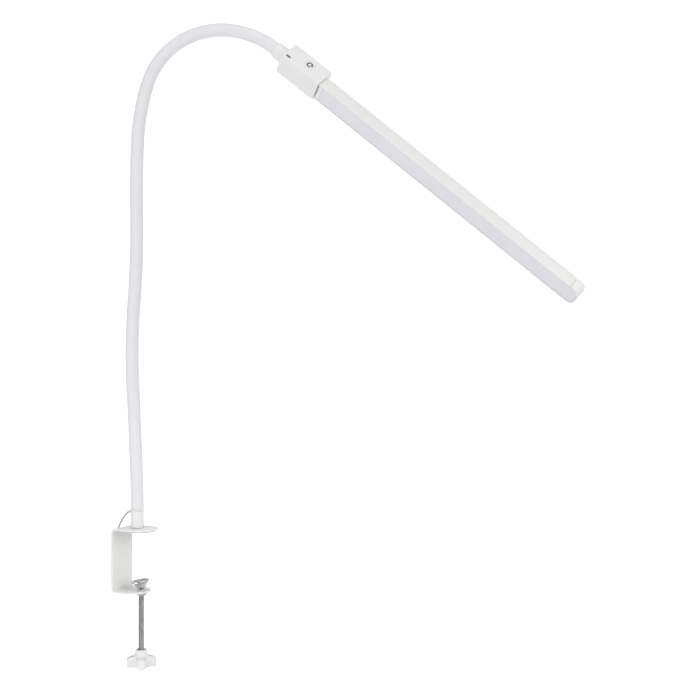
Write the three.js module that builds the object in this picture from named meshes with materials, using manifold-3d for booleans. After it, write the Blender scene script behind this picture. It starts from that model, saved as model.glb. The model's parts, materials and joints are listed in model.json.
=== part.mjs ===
// A clamp lamp: a bent steel C-clamp, a gooseneck, and a square switch head with a long LED bar.
// Millimetres, +Z up. The origin is on the gooseneck's axis, at the underside of the upper jaw's pad.
// +X runs from the clamp's web towards the jaw tips, and the clamp is symmetric about the XZ plane.

import * as THREE from "three";
import { mergeVertices } from "three/addons/utils/BufferGeometryUtils.js";
import Module from "manifold-3d";

const wasm = await Module();
wasm.setup();

// ---------------------------------------------------------------- driving dimensions

const CLEARANCE = 0.3; // between pieces that touch
const SIDES = 24; // facets on a full turn of a large round
const FEW_SIDES = 12; // and of a small or hidden one

const clamp = {
  sheet: 2.2,
  width: 35,
  opening: 61.8, // between the jaws' facing sides
  web: -18.5, // x of the web's inner face
  bend: 2.4, // inside radius of both bends
  upperTip: 22,
  lowerTip: 13,
};
const pad = { thickness: 1, glue: 0.2, inset: 2.5 };
const socket = { diameter: 13.4, height: 19.6, ringHeight: 1.8, ringProud: 0.3, floor: 4 };
const socketScrew = { thread: 5, head: 9.5, headDepth: 1.4 };
const screw = { x: 5.1, diameter: 6, hexAcross: 10, hexHeight: 4 };
const insert = { diameter: 9, flange: 12, flangeHeight: 1.2, below: 1.6 };
const foot = {
  ball: 7,
  lift: 0.4, // of the ball above the insert, with the screw wound right down
  cup: 19,
  disc: 1.6,
  height: 6.5, // from the ball's centre to the cup's top
  lip: 0.8, // how far the cup reaches below the ball's centre
  tilt: 8,
  tiltAzimuth: -54,
};
const knob = {
  across: 30,
  hub: 12.6,
  hubTop: -121.2,
  height: 17.8,
  armHeight: 9.6,
  armWidth: 9.4,
  web: 16.4, // of the round between the arms
  turn: -54,
  recess: 2,
  cap: 14,
  capHeight: 1.6,
};

const neck = {
  azimuth: 17.4, // of the upright plane that it bends in
  diameter: 13.4,
  jacketWall: 2,
  gap: 3.2, // between two jacket lengths, at each bending point
  coreGap: 0.6,
  start: 20, // height at which its centre line starts
  // each length's arc length, and how far it bends
  lengths: [36, 90, 90, 90, 75, 60, 55, 50, 58],
  bends: [-2, -1, 7.5, -5.5, 3.5, 15.5, 42, 35, 34.5],
};

const head = {
  side: 25,
  length: 48,
  wall: 2,
  corner: 2.4,
  roll: 42,
  ferrule: 16.4,
  ferruleLength: 13,
  ferruleGrip: 10, // how deep the neck goes into it
  stud: 8,
  wireBore: 4,
  washer: 13,
  washerThickness: 0.8,
  nutAcross: 11,
  nutHeight: 3.6,
};
const cover = { bossWidth: 6, bossLength: 6, bossHeight: 3, screw: 2.6, screwHead: 4.6, headHeight: 1 };
const button = { diameter: 11, z: 27.4, proud: 0.3, flange: 13, flangeHeight: 0.8 };
const lens = { length: 5, width: 2, z: 6, fromCorner: 3.5 };
const board = { thickness: 1.2, width: 19, from: 12, to: 34.5, depth: 6.8, post: 2 };
const tact = { side: 6, height: 2.3 };

const bar = {
  length: 330.3,
  faceWidth: 20,
  depth: 16,
  wall: 1.6,
  insetA: 2.5, // from the head's button side
  insetB: 1.7, // from the head's light side
  gap: 1.2, // between the head and the bar
  corner: 1.2,
  capLength: 12.5,
  capRound: 8,
  capPlug: 8,
};
const diffuser = { thickness: 1.8, recess: 0.4, ledge: 1, ledgeHeight: 1.3 };
const clip = { length: 4.2, foot: 2.5 };
const strip = { thickness: 1.6, width: 12, leds: 24, ledSide: 3.4, ledHeight: 0.9, start: 22 };
const joiner = { width: 14, height: 7, inHead: 13, inBar: 16, screw: 3, screwHead: 5.6, headHeight: 1.4, screwZ: 8 };

const cord = {
  diameter: 2.2,
  exitHeight: 20.4,
  slope: 15, // how steeply it points down there
  layers: 6, // of the hank
  lanes: 2,
  fold: 6.6, // radius of the innermost fold
  hankTop: -9,
  hankHeight: 56.2,
  hankAxis: [-34.5, 20],
  hankAzimuth: 126,
  tailFold: 6.8,
  foldInHank: 8, // how much of the tail's fold runs inside the hank's outline
};
const grommet = { radius: 2, inside: 1.8, outside: 2.6 };
const tie = { thickness: 1, height: 5 };
const plug = { width: 13.6, thickness: 7.4, length: 20, relief: 7, reliefRadius: 2 };
const shell = { width: 12, thickness: 4.5, length: 12, wall: 0.6 };

// ---------------------------------------------------------------- worked out from them

const jawUnder = pad.thickness + pad.glue;
const jawTop = jawUnder + clamp.sheet;
const lowerTop = jawUnder - clamp.opening;
const lowerUnder = lowerTop - clamp.sheet;
const neckRadius = neck.diameter / 2;
const boreRadius = neckRadius + CLEARANCE;
const coreRadius = neckRadius - neck.jacketWall - CLEARANCE;
const socketTop = jawTop + CLEARANCE + socket.height;
const ballHeight = lowerTop + foot.lift + foot.ball / 2;
const knobBottom = knob.hubTop - knob.height;
const radians = THREE.MathUtils.degToRad;

// ---------------------------------------------------------------- helpers

const root = new THREE.Group();

const looks = {
  whiteSteel: { color: 0xe9eae6, roughness: 0.42, metalness: 0.05 },
  whitePlastic: { color: 0xeceae6, roughness: 0.5, metalness: 0 },
  jacket: { color: 0xdfe0e2, roughness: 0.45, metalness: 0 },
  chrome: { color: 0xc4c6c8, roughness: 0.15, metalness: 1 },
  steel: { color: 0x9a9c9e, roughness: 0.35, metalness: 1 },
  brass: { color: 0xb79b5b, roughness: 0.35, metalness: 1 },
  aluminium: { color: 0xd9dad8, roughness: 0.4, metalness: 0.6 },
  opal: { color: 0xd9d8dc, roughness: 0.6, metalness: 0 },
  darkPlastic: { color: 0x2a2b2c, roughness: 0.4, metalness: 0 },
  boardGreen: { color: 0x2f6b46, roughness: 0.55, metalness: 0 },
  silicone: { color: 0xcfd0cf, roughness: 0.8, metalness: 0 },
  cordGrey: { color: 0xc9cacb, roughness: 0.55, metalness: 0 },
};

// The closed solid of a three.js geometry, turned the right way out.
function solid(geometry) {
  const bare = new THREE.BufferGeometry();
  const flat = geometry.index ? geometry.toNonIndexed() : geometry;
  bare.setAttribute("position", flat.getAttribute("position"));
  const merged = mergeVertices(bare, 1e-4);
  const vertProperties = new Float32Array(merged.attributes.position.array);
  const triVerts = new Uint32Array(merged.index.array);
  const build = () => new wasm.Manifold(new wasm.Mesh({ numProp: 3, vertProperties, triVerts }));
  const made = build();
  if (made.volume() > 0) return made;
  for (let i = 0; i < triVerts.length; i += 3) {
    const second = triVerts[i + 1];
    triVerts[i + 1] = triVerts[i + 2];
    triVerts[i + 2] = second;
  }
  return build();
}

// Adds a solid to a group as a named mesh.
function add(parent, name, made, look) {
  const mesh = made.getMesh();
  const points = new Float32Array((mesh.vertProperties.length / mesh.numProp) * 3);
  for (let i = 0; i < points.length / 3; i += 1) {
    for (let k = 0; k < 3; k += 1) points[i * 3 + k] = mesh.vertProperties[i * mesh.numProp + k];
  }
  const geometry = new THREE.BufferGeometry();
  geometry.setAttribute("position", new THREE.BufferAttribute(points, 3));
  geometry.setIndex(new THREE.BufferAttribute(new Uint32Array(mesh.triVerts), 1));
  geometry.computeVertexNormals();
  const piece = new THREE.Mesh(geometry, new THREE.MeshStandardMaterial(looks[look]));
  piece.name = name;
  parent.add(piece);
  return piece;
}

// A group placed in its parent.
function place(parent, position, rotation = [0, 0, 0], name = "") {
  const group = new THREE.Group();
  group.position.set(...position);
  group.rotation.set(...rotation);
  group.name = name;
  parent.add(group);
  return group;
}

// A round about the Z axis, from [radius, height] points that start and end on the axis.
function turned(profile, sides = SIDES) {
  const points = profile.map(([r, z]) => new THREE.Vector2(r, z));
  return solid(new THREE.LatheGeometry(points, sides).rotateX(Math.PI / 2));
}

function rod(radius, from, to, sides = SIDES) {
  return turned([[0, from], [radius, from], [radius, to], [0, to]], sides);
}

// A block from its lowest to its highest corner.
function block(low, high) {
  const size = high.map((value, k) => value - low[k]);
  const middle = high.map((value, k) => (value + low[k]) / 2);
  return solid(new THREE.BoxGeometry(...size).translate(...middle));
}

// A flat outline in XY, raised along Z.
function raised(shape, from, to, curveSegments = 12) {
  const settings = { depth: to - from, bevelEnabled: false, curveSegments };
  return solid(new THREE.ExtrudeGeometry(shape, settings).translate(0, 0, from));
}

// A rectangle with rounded corners, about its own centre.
function roundedRectangle(width, height, radius, x = 0, y = 0) {
  const a = width / 2;
  const b = height / 2;
  const r = Math.min(radius, a - 0.01, b - 0.01);
  const shape = new THREE.Shape();
  shape.moveTo(x - a + r, y - b);
  shape.lineTo(x + a - r, y - b);
  shape.absarc(x + a - r, y - b + r, r, -Math.PI / 2, 0);
  shape.lineTo(x + a, y + b - r);
  shape.absarc(x + a - r, y + b - r, r, 0, Math.PI / 2);
  shape.lineTo(x - a + r, y + b);
  shape.absarc(x - a + r, y + b - r, r, Math.PI / 2, Math.PI);
  shape.lineTo(x - a, y - b + r);
  shape.absarc(x - a + r, y - b + r, r, Math.PI, 1.5 * Math.PI);
  return shape;
}

// A regular hexagon prism, by its width across flats.
function hexagon(across, from, to) {
  return rod(across / 2 / Math.cos(Math.PI / 6), from, to, 6);
}

// A curve swept by a round or ring section.
function swept(curve, outer, inner, steps, sides) {
  const section = new THREE.Shape().absarc(0, 0, outer, 0, 2 * Math.PI);
  if (inner) section.holes.push(new THREE.Path().absarc(0, 0, inner, 0, 2 * Math.PI, true));
  const settings = { steps, extrudePath: curve, curveSegments: sides / 2, bevelEnabled: false };
  return solid(new THREE.ExtrudeGeometry(section, settings));
}

// The centre line of one neck length: it leaves along +Z and bends evenly towards +X.
// Before 0 and past its length it runs straight on.
class Arc extends THREE.Curve {
  constructor(length, bend, from, to) {
    super();
    this.arc = { length, bend, from, to };
  }

  getPoint(t, target = new THREE.Vector3()) {
    const { length, bend, from, to } = this.arc;
    const along = from + (to - from) * t;
    const bent = THREE.MathUtils.clamp(along, 0, length);
    const turn = (bend * bent) / length;
    const radius = length / bend;
    target.set(radius * (1 - Math.cos(turn)), 0, radius * Math.sin(turn));
    target.x += (along - bent) * Math.sin(turn);
    target.z += (along - bent) * Math.cos(turn);
    return target;
  }
}

// ---------------------------------------------------------------- clamp

// A jaw's plate: straight sides from its bend, and a round tip.
function jawPlate(from, tip, width, low, high) {
  const half = width / 2;
  const shape = new THREE.Shape();
  shape.moveTo(from, -half);
  shape.lineTo(tip - half, -half);
  shape.absarc(tip - half, 0, half, -Math.PI / 2, Math.PI / 2);
  shape.lineTo(from, half);
  shape.closePath();
  return raised(shape, low, high, 16);
}

// The web with both bends, as a C in XZ, one bend's worth of each jaw included.
function webAndBends() {
  const { sheet, bend, web, width } = clamp;
  const outer = bend + sheet;
  const leg = web + bend + 1;
  const shape = new THREE.Shape();
  shape.moveTo(leg, jawTop);
  shape.lineTo(web + bend, jawTop);
  shape.absarc(web + bend, jawUnder - bend, outer, Math.PI / 2, Math.PI);
  shape.lineTo(web - sheet, lowerTop + bend);
  shape.absarc(web + bend, lowerTop + bend, outer, Math.PI, 1.5 * Math.PI);
  shape.lineTo(leg, lowerUnder);
  shape.lineTo(leg, lowerTop);
  shape.lineTo(web + bend, lowerTop);
  shape.absarc(web + bend, lowerTop + bend, bend, 1.5 * Math.PI, Math.PI, true);
  shape.lineTo(web, jawUnder - bend);
  shape.absarc(web + bend, jawUnder - bend, bend, Math.PI, Math.PI / 2, true);
  shape.closePath();
  return raised(shape, -width / 2, width / 2, 8).rotate([90, 0, 0]);
}

// The socket screw, or with some extra all round its hole: a flat head, sunk in the jaw from below.
function socketScrewShape(from, to, extra) {
  const rim = 0.2;
  const shank = socketScrew.thread / 2 + extra;
  const wide = socketScrew.head / 2 + extra;
  return turned([
    [0, from],
    [wide, from],
    [wide, jawUnder + rim],
    [shank, jawUnder + rim + socketScrew.headDepth],
    [shank, to],
    [0, to],
  ]);
}

function makeClamp() {
  const { web, bend, width, upperTip, lowerTip } = clamp;
  const start = web + bend;
  const screwHole = socketScrewShape(jawUnder - 1, jawTop + 1, CLEARANCE);
  const insertHole = rod(insert.diameter / 2 + CLEARANCE, lowerUnder - 1, lowerTop + 1);
  const bracket = webAndBends()
    .add(jawPlate(start, upperTip, width, jawUnder, jawTop))
    .add(jawPlate(start, lowerTip, width, lowerUnder, lowerTop))
    .subtract(screwHole)
    .subtract(insertHole.translate([screw.x, 0, 0]));
  add(root, "clamp_bracket", bracket, "whiteSteel");

  const padWidth = width - 2 * pad.inset;
  const padPlate = jawPlate(start + pad.inset, upperTip - pad.inset, padWidth, 0, pad.thickness);
  add(root, "jaw_pad", padPlate, "silicone");

  const bushRadius = insert.diameter / 2;
  const bore = screw.diameter / 2 + CLEARANCE;
  const flangeTop = lowerUnder - CLEARANCE;
  const bush = turned([
    [0, flangeTop - insert.flangeHeight - insert.below],
    [bushRadius, flangeTop - insert.flangeHeight - insert.below],
    [bushRadius, flangeTop - insert.flangeHeight],
    [insert.flange / 2, flangeTop - insert.flangeHeight],
    [insert.flange / 2, flangeTop],
    [bushRadius, flangeTop],
    [bushRadius, lowerTop],
    [0, lowerTop],
  ]).subtract(rod(bore, lowerUnder - 10, lowerTop + 1));
  add(place(root, [screw.x, 0, 0]), "screw_insert", bush, "steel");
}

// ---------------------------------------------------------------- neck socket

// A round whose axis runs down and back (-X) through the cord's exit, from and to along that axis.
function alongCord(radius, from, to) {
  return rod(radius, from, to, FEW_SIDES)
    .rotate([0, -90 - cord.slope, 0])
    .translate([-socket.diameter / 2, 0, cord.exitHeight]);
}

function makeSocket() {
  const radius = socket.diameter / 2;
  const bottom = jawTop + CLEARANCE;
  const floor = bottom + socket.floor;
  const ringBottom = socketTop - socket.ringHeight;
  const bore = rod(coreRadius + CLEARANCE, floor, socketTop + 1);
  const cordHole = alongCord(grommet.radius + CLEARANCE, -grommet.inside - 1, 2 * radius);

  const body = rod(radius, bottom, ringBottom - CLEARANCE)
    .subtract(bore)
    .subtract(rod(socketScrew.thread / 2 + CLEARANCE, bottom - 1, socketTop))
    .subtract(cordHole);
  add(root, "neck_socket", body, "whitePlastic");

  const proud = radius + socket.ringProud;
  const ring = turned([
    [0, ringBottom],
    [proud, ringBottom],
    [proud, socketTop - socket.ringProud],
    [radius, socketTop],
    [0, socketTop],
  ]);
  add(root, "socket_ring", ring.subtract(bore).subtract(cordHole), "whiteSteel");

  const bolt = socketScrewShape(jawUnder, floor - CLEARANCE, 0);
  add(root, "socket_screw", bolt, "steel");

  const boot = alongCord(grommet.radius, -grommet.inside, grommet.outside);
  const clear = rod(coreRadius + 2 * CLEARANCE, floor, socketTop + radius);
  add(root, "cord_grommet", boot.subtract(clear), "silicone");
}

// ---------------------------------------------------------------- clamp screw

function makeScrew() {
  const carrier = place(root, [screw.x, 0, 0], [0, 0, 0], "screw_axis");
  const ballRadius = foot.ball / 2;
  const ball = solid(new THREE.SphereGeometry(ballRadius, 16, 10).rotateX(Math.PI / 2));
  const ballPlace = place(carrier, [0, 0, ballHeight], [0, 0, 0], "cup_tilt");
  add(ballPlace, "swivel_ball", ball, "chrome");

  const shank = screw.diameter / 2;
  const headBottom = knobBottom + knob.capHeight + 2 * CLEARANCE;
  const bolt = rod(shank, headBottom, ballHeight - ballRadius - CLEARANCE, FEW_SIDES)
    .add(hexagon(screw.hexAcross, headBottom, headBottom + screw.hexHeight));
  add(carrier, "clamp_screw", bolt, "chrome");

  const round = foot.cup / 2;
  const seat = ballRadius + CLEARANCE;
  const neckWall = seat + 1.1;
  const cup = turned([
    [0, -foot.lip],
    [neckWall, -foot.lip],
    [neckWall + 0.6, 1],
    [round - 2, foot.height - foot.disc - 1],
    [round, foot.height - foot.disc],
    [round, foot.height],
    [0, foot.height],
  ]).subtract(solid(new THREE.SphereGeometry(seat, 16, 10).rotateX(Math.PI / 2)));
  const tiltPlace = place(ballPlace, [0, 0, 0], [0, 0, radians(foot.tiltAzimuth)]);
  add(place(tiltPlace, [0, 0, 0], [radians(foot.tilt), 0, 0]), "pressure_cup", cup, "chrome");
  makeKnob(carrier, headBottom);
}

function makeKnob(carrier, headBottom) {
  const arm = raised(roundedRectangle(knob.across, knob.armWidth, 3.2), 0, knob.armHeight, 6);
  const capRecess = knob.capHeight + CLEARANCE;
  const pocketTop = headBottom + screw.hexHeight + CLEARANCE - knobBottom;
  const made = arm
    .add(arm.rotate([0, 0, 90]))
    .add(rod(knob.web / 2, 0, knob.armHeight))
    .add(rod(knob.hub / 2, 0, knob.height))
    .subtract(rod(knob.cap / 2 + CLEARANCE, -1, capRecess))
    .subtract(hexagon(screw.hexAcross + 2 * CLEARANCE, capRecess - 0.1, pocketTop))
    .subtract(rod(screw.diameter / 2 + CLEARANCE, 0, knob.height + 1, FEW_SIDES))
    .subtract(rod(screw.diameter / 2 + 1.6, knob.height - knob.recess, knob.height + 1));
  const knobPlace = place(carrier, [0, 0, knobBottom]);
  add(knobPlace, "knob_cap", rod(knob.cap / 2, 0, knob.capHeight), "whitePlastic");
  add(place(knobPlace, [0, 0, 0], [0, 0, radians(knob.turn)]), "screw_knob", made, "whitePlastic");
}

// ---------------------------------------------------------------- gooseneck

// The jacket and the core of one neck length. Where it meets the next one, the core's end is round.
function makeNeckLength(parent, index) {
  const length = neck.lengths[index];
  const bend = radians(neck.bends[index]);
  const first = index === 0;
  const last = index === neck.lengths.length - 1;
  const steps = Math.max(2, Math.round(Math.abs(neck.bends[index]) / 5));
  const jacketFrom = first ? socketTop + CLEARANCE - neck.start : neck.gap / 2;
  const jacketTo = last ? length + head.ferruleGrip - CLEARANCE : length - neck.gap / 2;
  const line = new Arc(length, bend, jacketFrom, jacketTo);
  const jacket = swept(line, neckRadius, coreRadius + CLEARANCE, steps, SIDES - 4);
  add(parent, `neck_jacket_${index}`, jacket, "jacket");

  const domeSeat = neck.coreGap / 2 + coreRadius;
  const socketFloor = jawTop + CLEARANCE + socket.floor;
  const coreFrom = first ? socketFloor + CLEARANCE - neck.start : domeSeat;
  const coreTo = last ? length + head.ferruleGrip - CLEARANCE : length - domeSeat;
  const coreLine = new Arc(length, bend, coreFrom, coreTo);
  let core = swept(coreLine, coreRadius, 0, steps, FEW_SIDES);
  const dome = solid(new THREE.SphereGeometry(coreRadius, FEW_SIDES, 6).rotateX(Math.PI / 2));
  if (!first) core = core.add(dome.translate(coreLine.getPoint(0).toArray()));
  if (!last) core = core.add(dome.translate(coreLine.getPoint(1).toArray()));
  add(parent, `neck_core_${index}`, core, "steel");

  const end = new Arc(length, bend, 0, length).getPoint(1);
  return place(parent, end.toArray(), [0, bend, 0], `neck_end_${index}`);
}

function makeNeck() {
  let parent = place(root, [0, 0, neck.start], [0, 0, radians(neck.azimuth)]);
  neck.lengths.forEach((_, index) => {
    parent = makeNeckLength(parent, index);
  });
  return parent;
}

// ---------------------------------------------------------------- switch head

const headStart = head.ferruleLength + CLEARANCE;
const headEnd = headStart + head.length;
const half = head.side / 2;
const inner = half - head.wall;
const washerFrom = headStart + head.wall + CLEARANCE;
const nutFrom = washerFrom + head.washerThickness + CLEARANCE;

function makeFerrule(parent) {
  const radius = head.ferrule / 2;
  const stud = head.stud / 2;
  const studEnd = nutFrom + head.nutHeight + 0.6;
  const ferrule = turned([
    [0, 0],
    [radius - 0.8, 0],
    [radius, 0.8],
    [radius, head.ferruleLength],
    [stud, head.ferruleLength],
    [stud, studEnd],
    [0, studEnd],
  ])
    .subtract(rod(boreRadius, -1, head.ferruleGrip))
    .subtract(rod(head.wireBore / 2, 0, studEnd + 1, FEW_SIDES));
  add(parent, "head_ferrule", ferrule, "whitePlastic");

  const hole = rod(stud + CLEARANCE, headStart, studEnd + 1);
  const washer = rod(head.washer / 2, washerFrom, washerFrom + head.washerThickness).subtract(hole);
  add(parent, "friction_washer", washer, "silicone");
  const nut = hexagon(head.nutAcross, nutFrom, nutFrom + head.nutHeight).subtract(hole);
  add(parent, "stud_nut", nut, "brass");
}

// A block that every wall of the head leaves clear by some amount.
function headInside(clear, depth) {
  const side = inner - clear;
  return block([-side, depth, headStart + head.wall + clear], [side, half, headEnd - head.wall - clear]);
}

// A round that stands on the head's sides, along -Y or +Y.
function across(radius, x, z, from, to, sides = SIDES) {
  return rod(radius, from, to, sides).rotate([-90, 0, 0]).translate([x, 0, z]);
}

function makeHousing(parent) {
  const outer = raised(roundedRectangle(head.side, head.side, head.corner), headStart, headEnd, 5);
  const bossFrom = inner - cover.bossHeight - CLEARANCE;
  const bossEnds = [headStart + head.wall, headEnd - head.wall - cover.bossLength];
  let housing = outer
    .subtract(headInside(0, -inner).translate([0, 0.01, 0]))
    .subtract(rod(head.stud / 2 + CLEARANCE, headStart - 1, headStart + head.wall + 1))
    .subtract(joinerBlock(CLEARANCE, headEnd - head.wall - 1, headEnd + 1))
    .subtract(across(button.diameter / 2 + CLEARANCE, 0, headStart + button.z, -half - 1, -inner + 1))
    .subtract(lensShape(CLEARANCE, -half - 1, -inner + 1));
  bossEnds.forEach((z) => {
    const w = cover.bossWidth / 2;
    const low = [-w, bossFrom, z - 0.5];
    const boss = block(low, [w, inner - CLEARANCE, z + cover.bossLength + 0.5]);
    const hole = across(cover.screw / 2 + CLEARANCE, 0, z + cover.bossLength / 2, bossFrom - 1, half);
    housing = housing.add(boss).subtract(hole);
  });
  const postReach = half - board.depth + CLEARANCE;
  [-1, 1].forEach((side) => {
    [board.from, board.to - board.post].forEach((z) => {
      const x = (side * (board.width - board.post)) / 2;
      const low = [x - board.post / 2, -inner - 0.5, headStart + z];
      housing = housing.add(block(low, [x + board.post / 2, -postReach, headStart + z + board.post]));
    });
  });
  add(parent, "head_housing", housing, "whitePlastic");

  let lid = headInside(CLEARANCE, inner);
  bossEnds.forEach((z, index) => {
    const middle = z + cover.bossLength / 2;
    const wide = cover.screwHead / 2;
    const sink = half - cover.headHeight - CLEARANCE;
    lid = lid
      .subtract(across(cover.screw / 2 + CLEARANCE, 0, middle, 0, half + 1, FEW_SIDES))
      .subtract(across(wide + CLEARANCE, 0, middle, sink, half + 1, FEW_SIDES));
    const bolt = across(cover.screw / 2, 0, middle, bossFrom, half - 0.1, FEW_SIDES)
      .add(across(wide, 0, middle, half - cover.headHeight, half - 0.1, FEW_SIDES));
    add(parent, `cover_screw_${index + 1}`, bolt, "steel");
  });
  add(parent, "head_cover", lid, "whitePlastic");
}

// The indicator's window, long along the head, near the corner between its light and button sides.
function lensShape(clear, from, to) {
  const outline = roundedRectangle(lens.width + 2 * clear, lens.length + 2 * clear, lens.width);
  return raised(outline, -to, -from, 4)
    .rotate([90, 0, 0])
    .translate([half - lens.fromCorner, 0, headStart + lens.z]);
}

function makeSwitch(parent) {
  const z = headStart + button.z;
  const flangeTop = inner - CLEARANCE;
  const cap = across(button.diameter / 2, 0, z, -half - button.proud, -flangeTop + 0.1)
    .add(across(button.flange / 2, 0, z, -flangeTop, -flangeTop + button.flangeHeight));
  add(parent, "power_button", cap, "whitePlastic");
  add(parent, "indicator_lens", lensShape(0, -half, -inner), "darkPlastic");

  const boardTop = -(half - board.depth);
  const w = board.width / 2;
  const plate = block(
    [-w, boardTop, headStart + board.from],
    [w, boardTop + board.thickness, headStart + board.to],
  );
  add(parent, "control_board", plate, "boardGreen");
  const s = tact.side / 2;
  const tactTop = boardTop - CLEARANCE - tact.height;
  const tactBlock = block([-s, tactTop, z - s], [s, boardTop - CLEARANCE, z + s]);
  add(parent, "tact_switch", tactBlock, "darkPlastic");
}

// ---------------------------------------------------------------- light bar

const barStart = headEnd + bar.gap;
const barFace = half - bar.insetB;
const barBack = barFace - bar.depth;
const barFloor = barBack + bar.wall;
const barHalf = bar.faceWidth / 2;
const barInner = barHalf - bar.wall;
const barMiddle = barHalf - half + bar.insetA;
const channelEnd = bar.length - bar.capLength;
const diffuserTop = barFace - diffuser.recess;
const diffuserUnder = diffuserTop - diffuser.thickness;

function joinerBlock(extra, from, to) {
  const low = barFloor + CLEARANCE - extra;
  const w = joiner.width / 2 + extra;
  return block([low, barMiddle - w, from], [low + joiner.height + 2 * extra, barMiddle + w, to]);
}

// The bar's cross-section, raised along Z.
function barSection(from, to) {
  const outline = roundedRectangle(
    bar.depth,
    bar.faceWidth,
    bar.corner,
    (barFace + barBack) / 2,
    barMiddle,
  );
  return raised(outline, from, to, 4);
}

// A plate seen from the light side, up to a tip with round corners.
function tipPlate(halfWidth, from, to, round, low, high) {
  const r = Math.min(round, halfWidth - 0.01);
  const shape = new THREE.Shape();
  shape.moveTo(-halfWidth, from);
  shape.lineTo(halfWidth, from);
  shape.lineTo(halfWidth, to - r);
  shape.absarc(halfWidth - r, to - r, r, 0, Math.PI / 2);
  shape.lineTo(-halfWidth + r, to);
  shape.absarc(-halfWidth + r, to - r, r, Math.PI / 2, Math.PI);
  shape.closePath();
  return raised(shape, low, high, 8).rotate([90, 0, 90]).translate([0, barMiddle, 0]);
}

function makeBar(parent) {
  const barPlace = place(parent, [0, 0, barStart]);
  const w = barInner;
  const ledgeFrom = clip.length + 1;
  let channel = barSection(0, channelEnd)
    .subtract(block([barFloor, barMiddle - w, -1], [barFace + 1, barMiddle + w, channelEnd + 1]));
  [-1, 1].forEach((side) => {
    const y = barMiddle + side * (w - diffuser.ledge / 2 + 0.25);
    const t = diffuser.ledge / 2 + 0.25;
    const top = diffuserUnder - CLEARANCE;
    const low = [top - diffuser.ledgeHeight, y - t, ledgeFrom];
    channel = channel.add(block(low, [top, y + t, channelEnd]));
  });
  const screwHole = rod(joiner.screw / 2 + CLEARANCE, -half, half, FEW_SIDES).rotate([0, 90, 0]);
  const screwPlace = [0, barMiddle, joiner.screwZ];
  const holeInBar = screwHole.translate(screwPlace);
  const backOnly = block([-half, -half, 0], [barFloor + 1, half, 2 * joiner.screwZ]);
  channel = channel.subtract(holeInBar.intersect(backOnly));
  add(barPlace, "bar_housing", channel, "aluminium");

  const tongue = joinerBlock(0, -bar.gap - joiner.inHead, joiner.inBar).subtract(holeInBar);
  add(barPlace, "bar_joiner", tongue, "steel");
  const headOut = barBack - CLEARANCE;
  const bolt = rod(joiner.screw / 2, headOut - 0.1, barFloor + joiner.height, FEW_SIDES)
    .add(rod(joiner.screwHead / 2, headOut - joiner.headHeight, headOut, FEW_SIDES))
    .rotate([0, 90, 0])
    .translate(screwPlace);
  add(barPlace, "joiner_screw", bolt, "steel");

  makeLight(barPlace);
  makeCap(barPlace);
}

function makeLight(barPlace) {
  const stripTop = barFloor + CLEARANCE + strip.thickness;
  const stripEnd = channelEnd - bar.capPlug - 1;
  const sw = strip.width / 2;
  let leds = block(
    [barFloor + CLEARANCE, barMiddle - sw, strip.start],
    [stripTop, barMiddle + sw, stripEnd],
  );
  const pitch = (stripEnd - strip.start) / strip.leds;
  const s = strip.ledSide / 2;
  for (let i = 0; i < strip.leds; i += 1) {
    const z = strip.start + pitch * (i + 0.5);
    const low = [stripTop - 0.2, barMiddle - s, z - s];
    leds = leds.add(block(low, [stripTop + strip.ledHeight, barMiddle + s, z + s]));
  }
  add(barPlace, "led_strip", leds, "boardGreen");

  const w = barInner - CLEARANCE;
  const clipPlate = block([diffuserUnder, barMiddle - w, 0], [diffuserTop, barMiddle + w, clip.length]);
  const footLow = barFloor + joiner.height + 2 * CLEARANCE;
  const footPlate = block([footLow, barMiddle - w, 0], [diffuserUnder + 0.5, barMiddle + w, clip.foot]);
  add(barPlace, "diffuser_clip", clipPlate.add(footPlate), "whitePlastic");

  const from = clip.length + CLEARANCE;
  const to = bar.length - bar.wall - CLEARANCE;
  const round = bar.capRound - bar.wall - CLEARANCE;
  const sheet = tipPlate(w, from, to, round, diffuserUnder, diffuserTop);
  add(barPlace, "diffuser", sheet, "opal");
}

function makeCap(barPlace) {
  const from = channelEnd + CLEARANCE;
  const w = barInner - CLEARANCE;
  const outside = tipPlate(barHalf, from - 1, bar.length, bar.capRound, barBack - 1, barFace + 1);
  const toEnd = bar.length - bar.wall;
  const pocketRound = bar.capRound - bar.wall;
  const pocketFloor = diffuserUnder - CLEARANCE;
  const pocket = tipPlate(barInner, channelEnd - bar.capPlug, toEnd, pocketRound, pocketFloor, barFace + 2);
  const plugLow = barFloor + CLEARANCE;
  const plugHigh = diffuserUnder - 2 * CLEARANCE - diffuser.ledgeHeight;
  const inside = block(
    [plugLow, barMiddle - w, channelEnd - bar.capPlug],
    [plugHigh, barMiddle + w, from + 2],
  );
  const cap = barSection(from, bar.length).intersect(outside).subtract(pocket).add(inside);
  add(barPlace, "end_cap", cap, "whitePlastic");
}

function makeHead(end) {
  makeFerrule(end);
  const turnedHead = place(end, [0, 0, 0], [0, 0, -radians(head.roll)], "head_axis");
  makeHousing(turnedHead);
  makeSwitch(turnedHead);
  makeBar(turnedHead);
}

// ---------------------------------------------------------------- power cord

// The stretch from the grommet, over the clamp's top bend, to the hank behind its web.
const cordRoute = [
  [-9.5, 0, 19.65],
  [-11.75, -0.1, 18.6],
  [-14.4, -0.3, 16.3],
  [-17, -0.4, 13],
  [-19.5, -0.5, 9.4],
  [-21.8, -0.4, 5.5],
  [-24.2, 0.4, 1.6],
  [-27.1, 2.1, -2.3],
  [-30.2, 4.9, -5.8],
  [-32.6, 7.6, -9.1],
  [-33.7, 9.2, -12.8],
];

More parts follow.
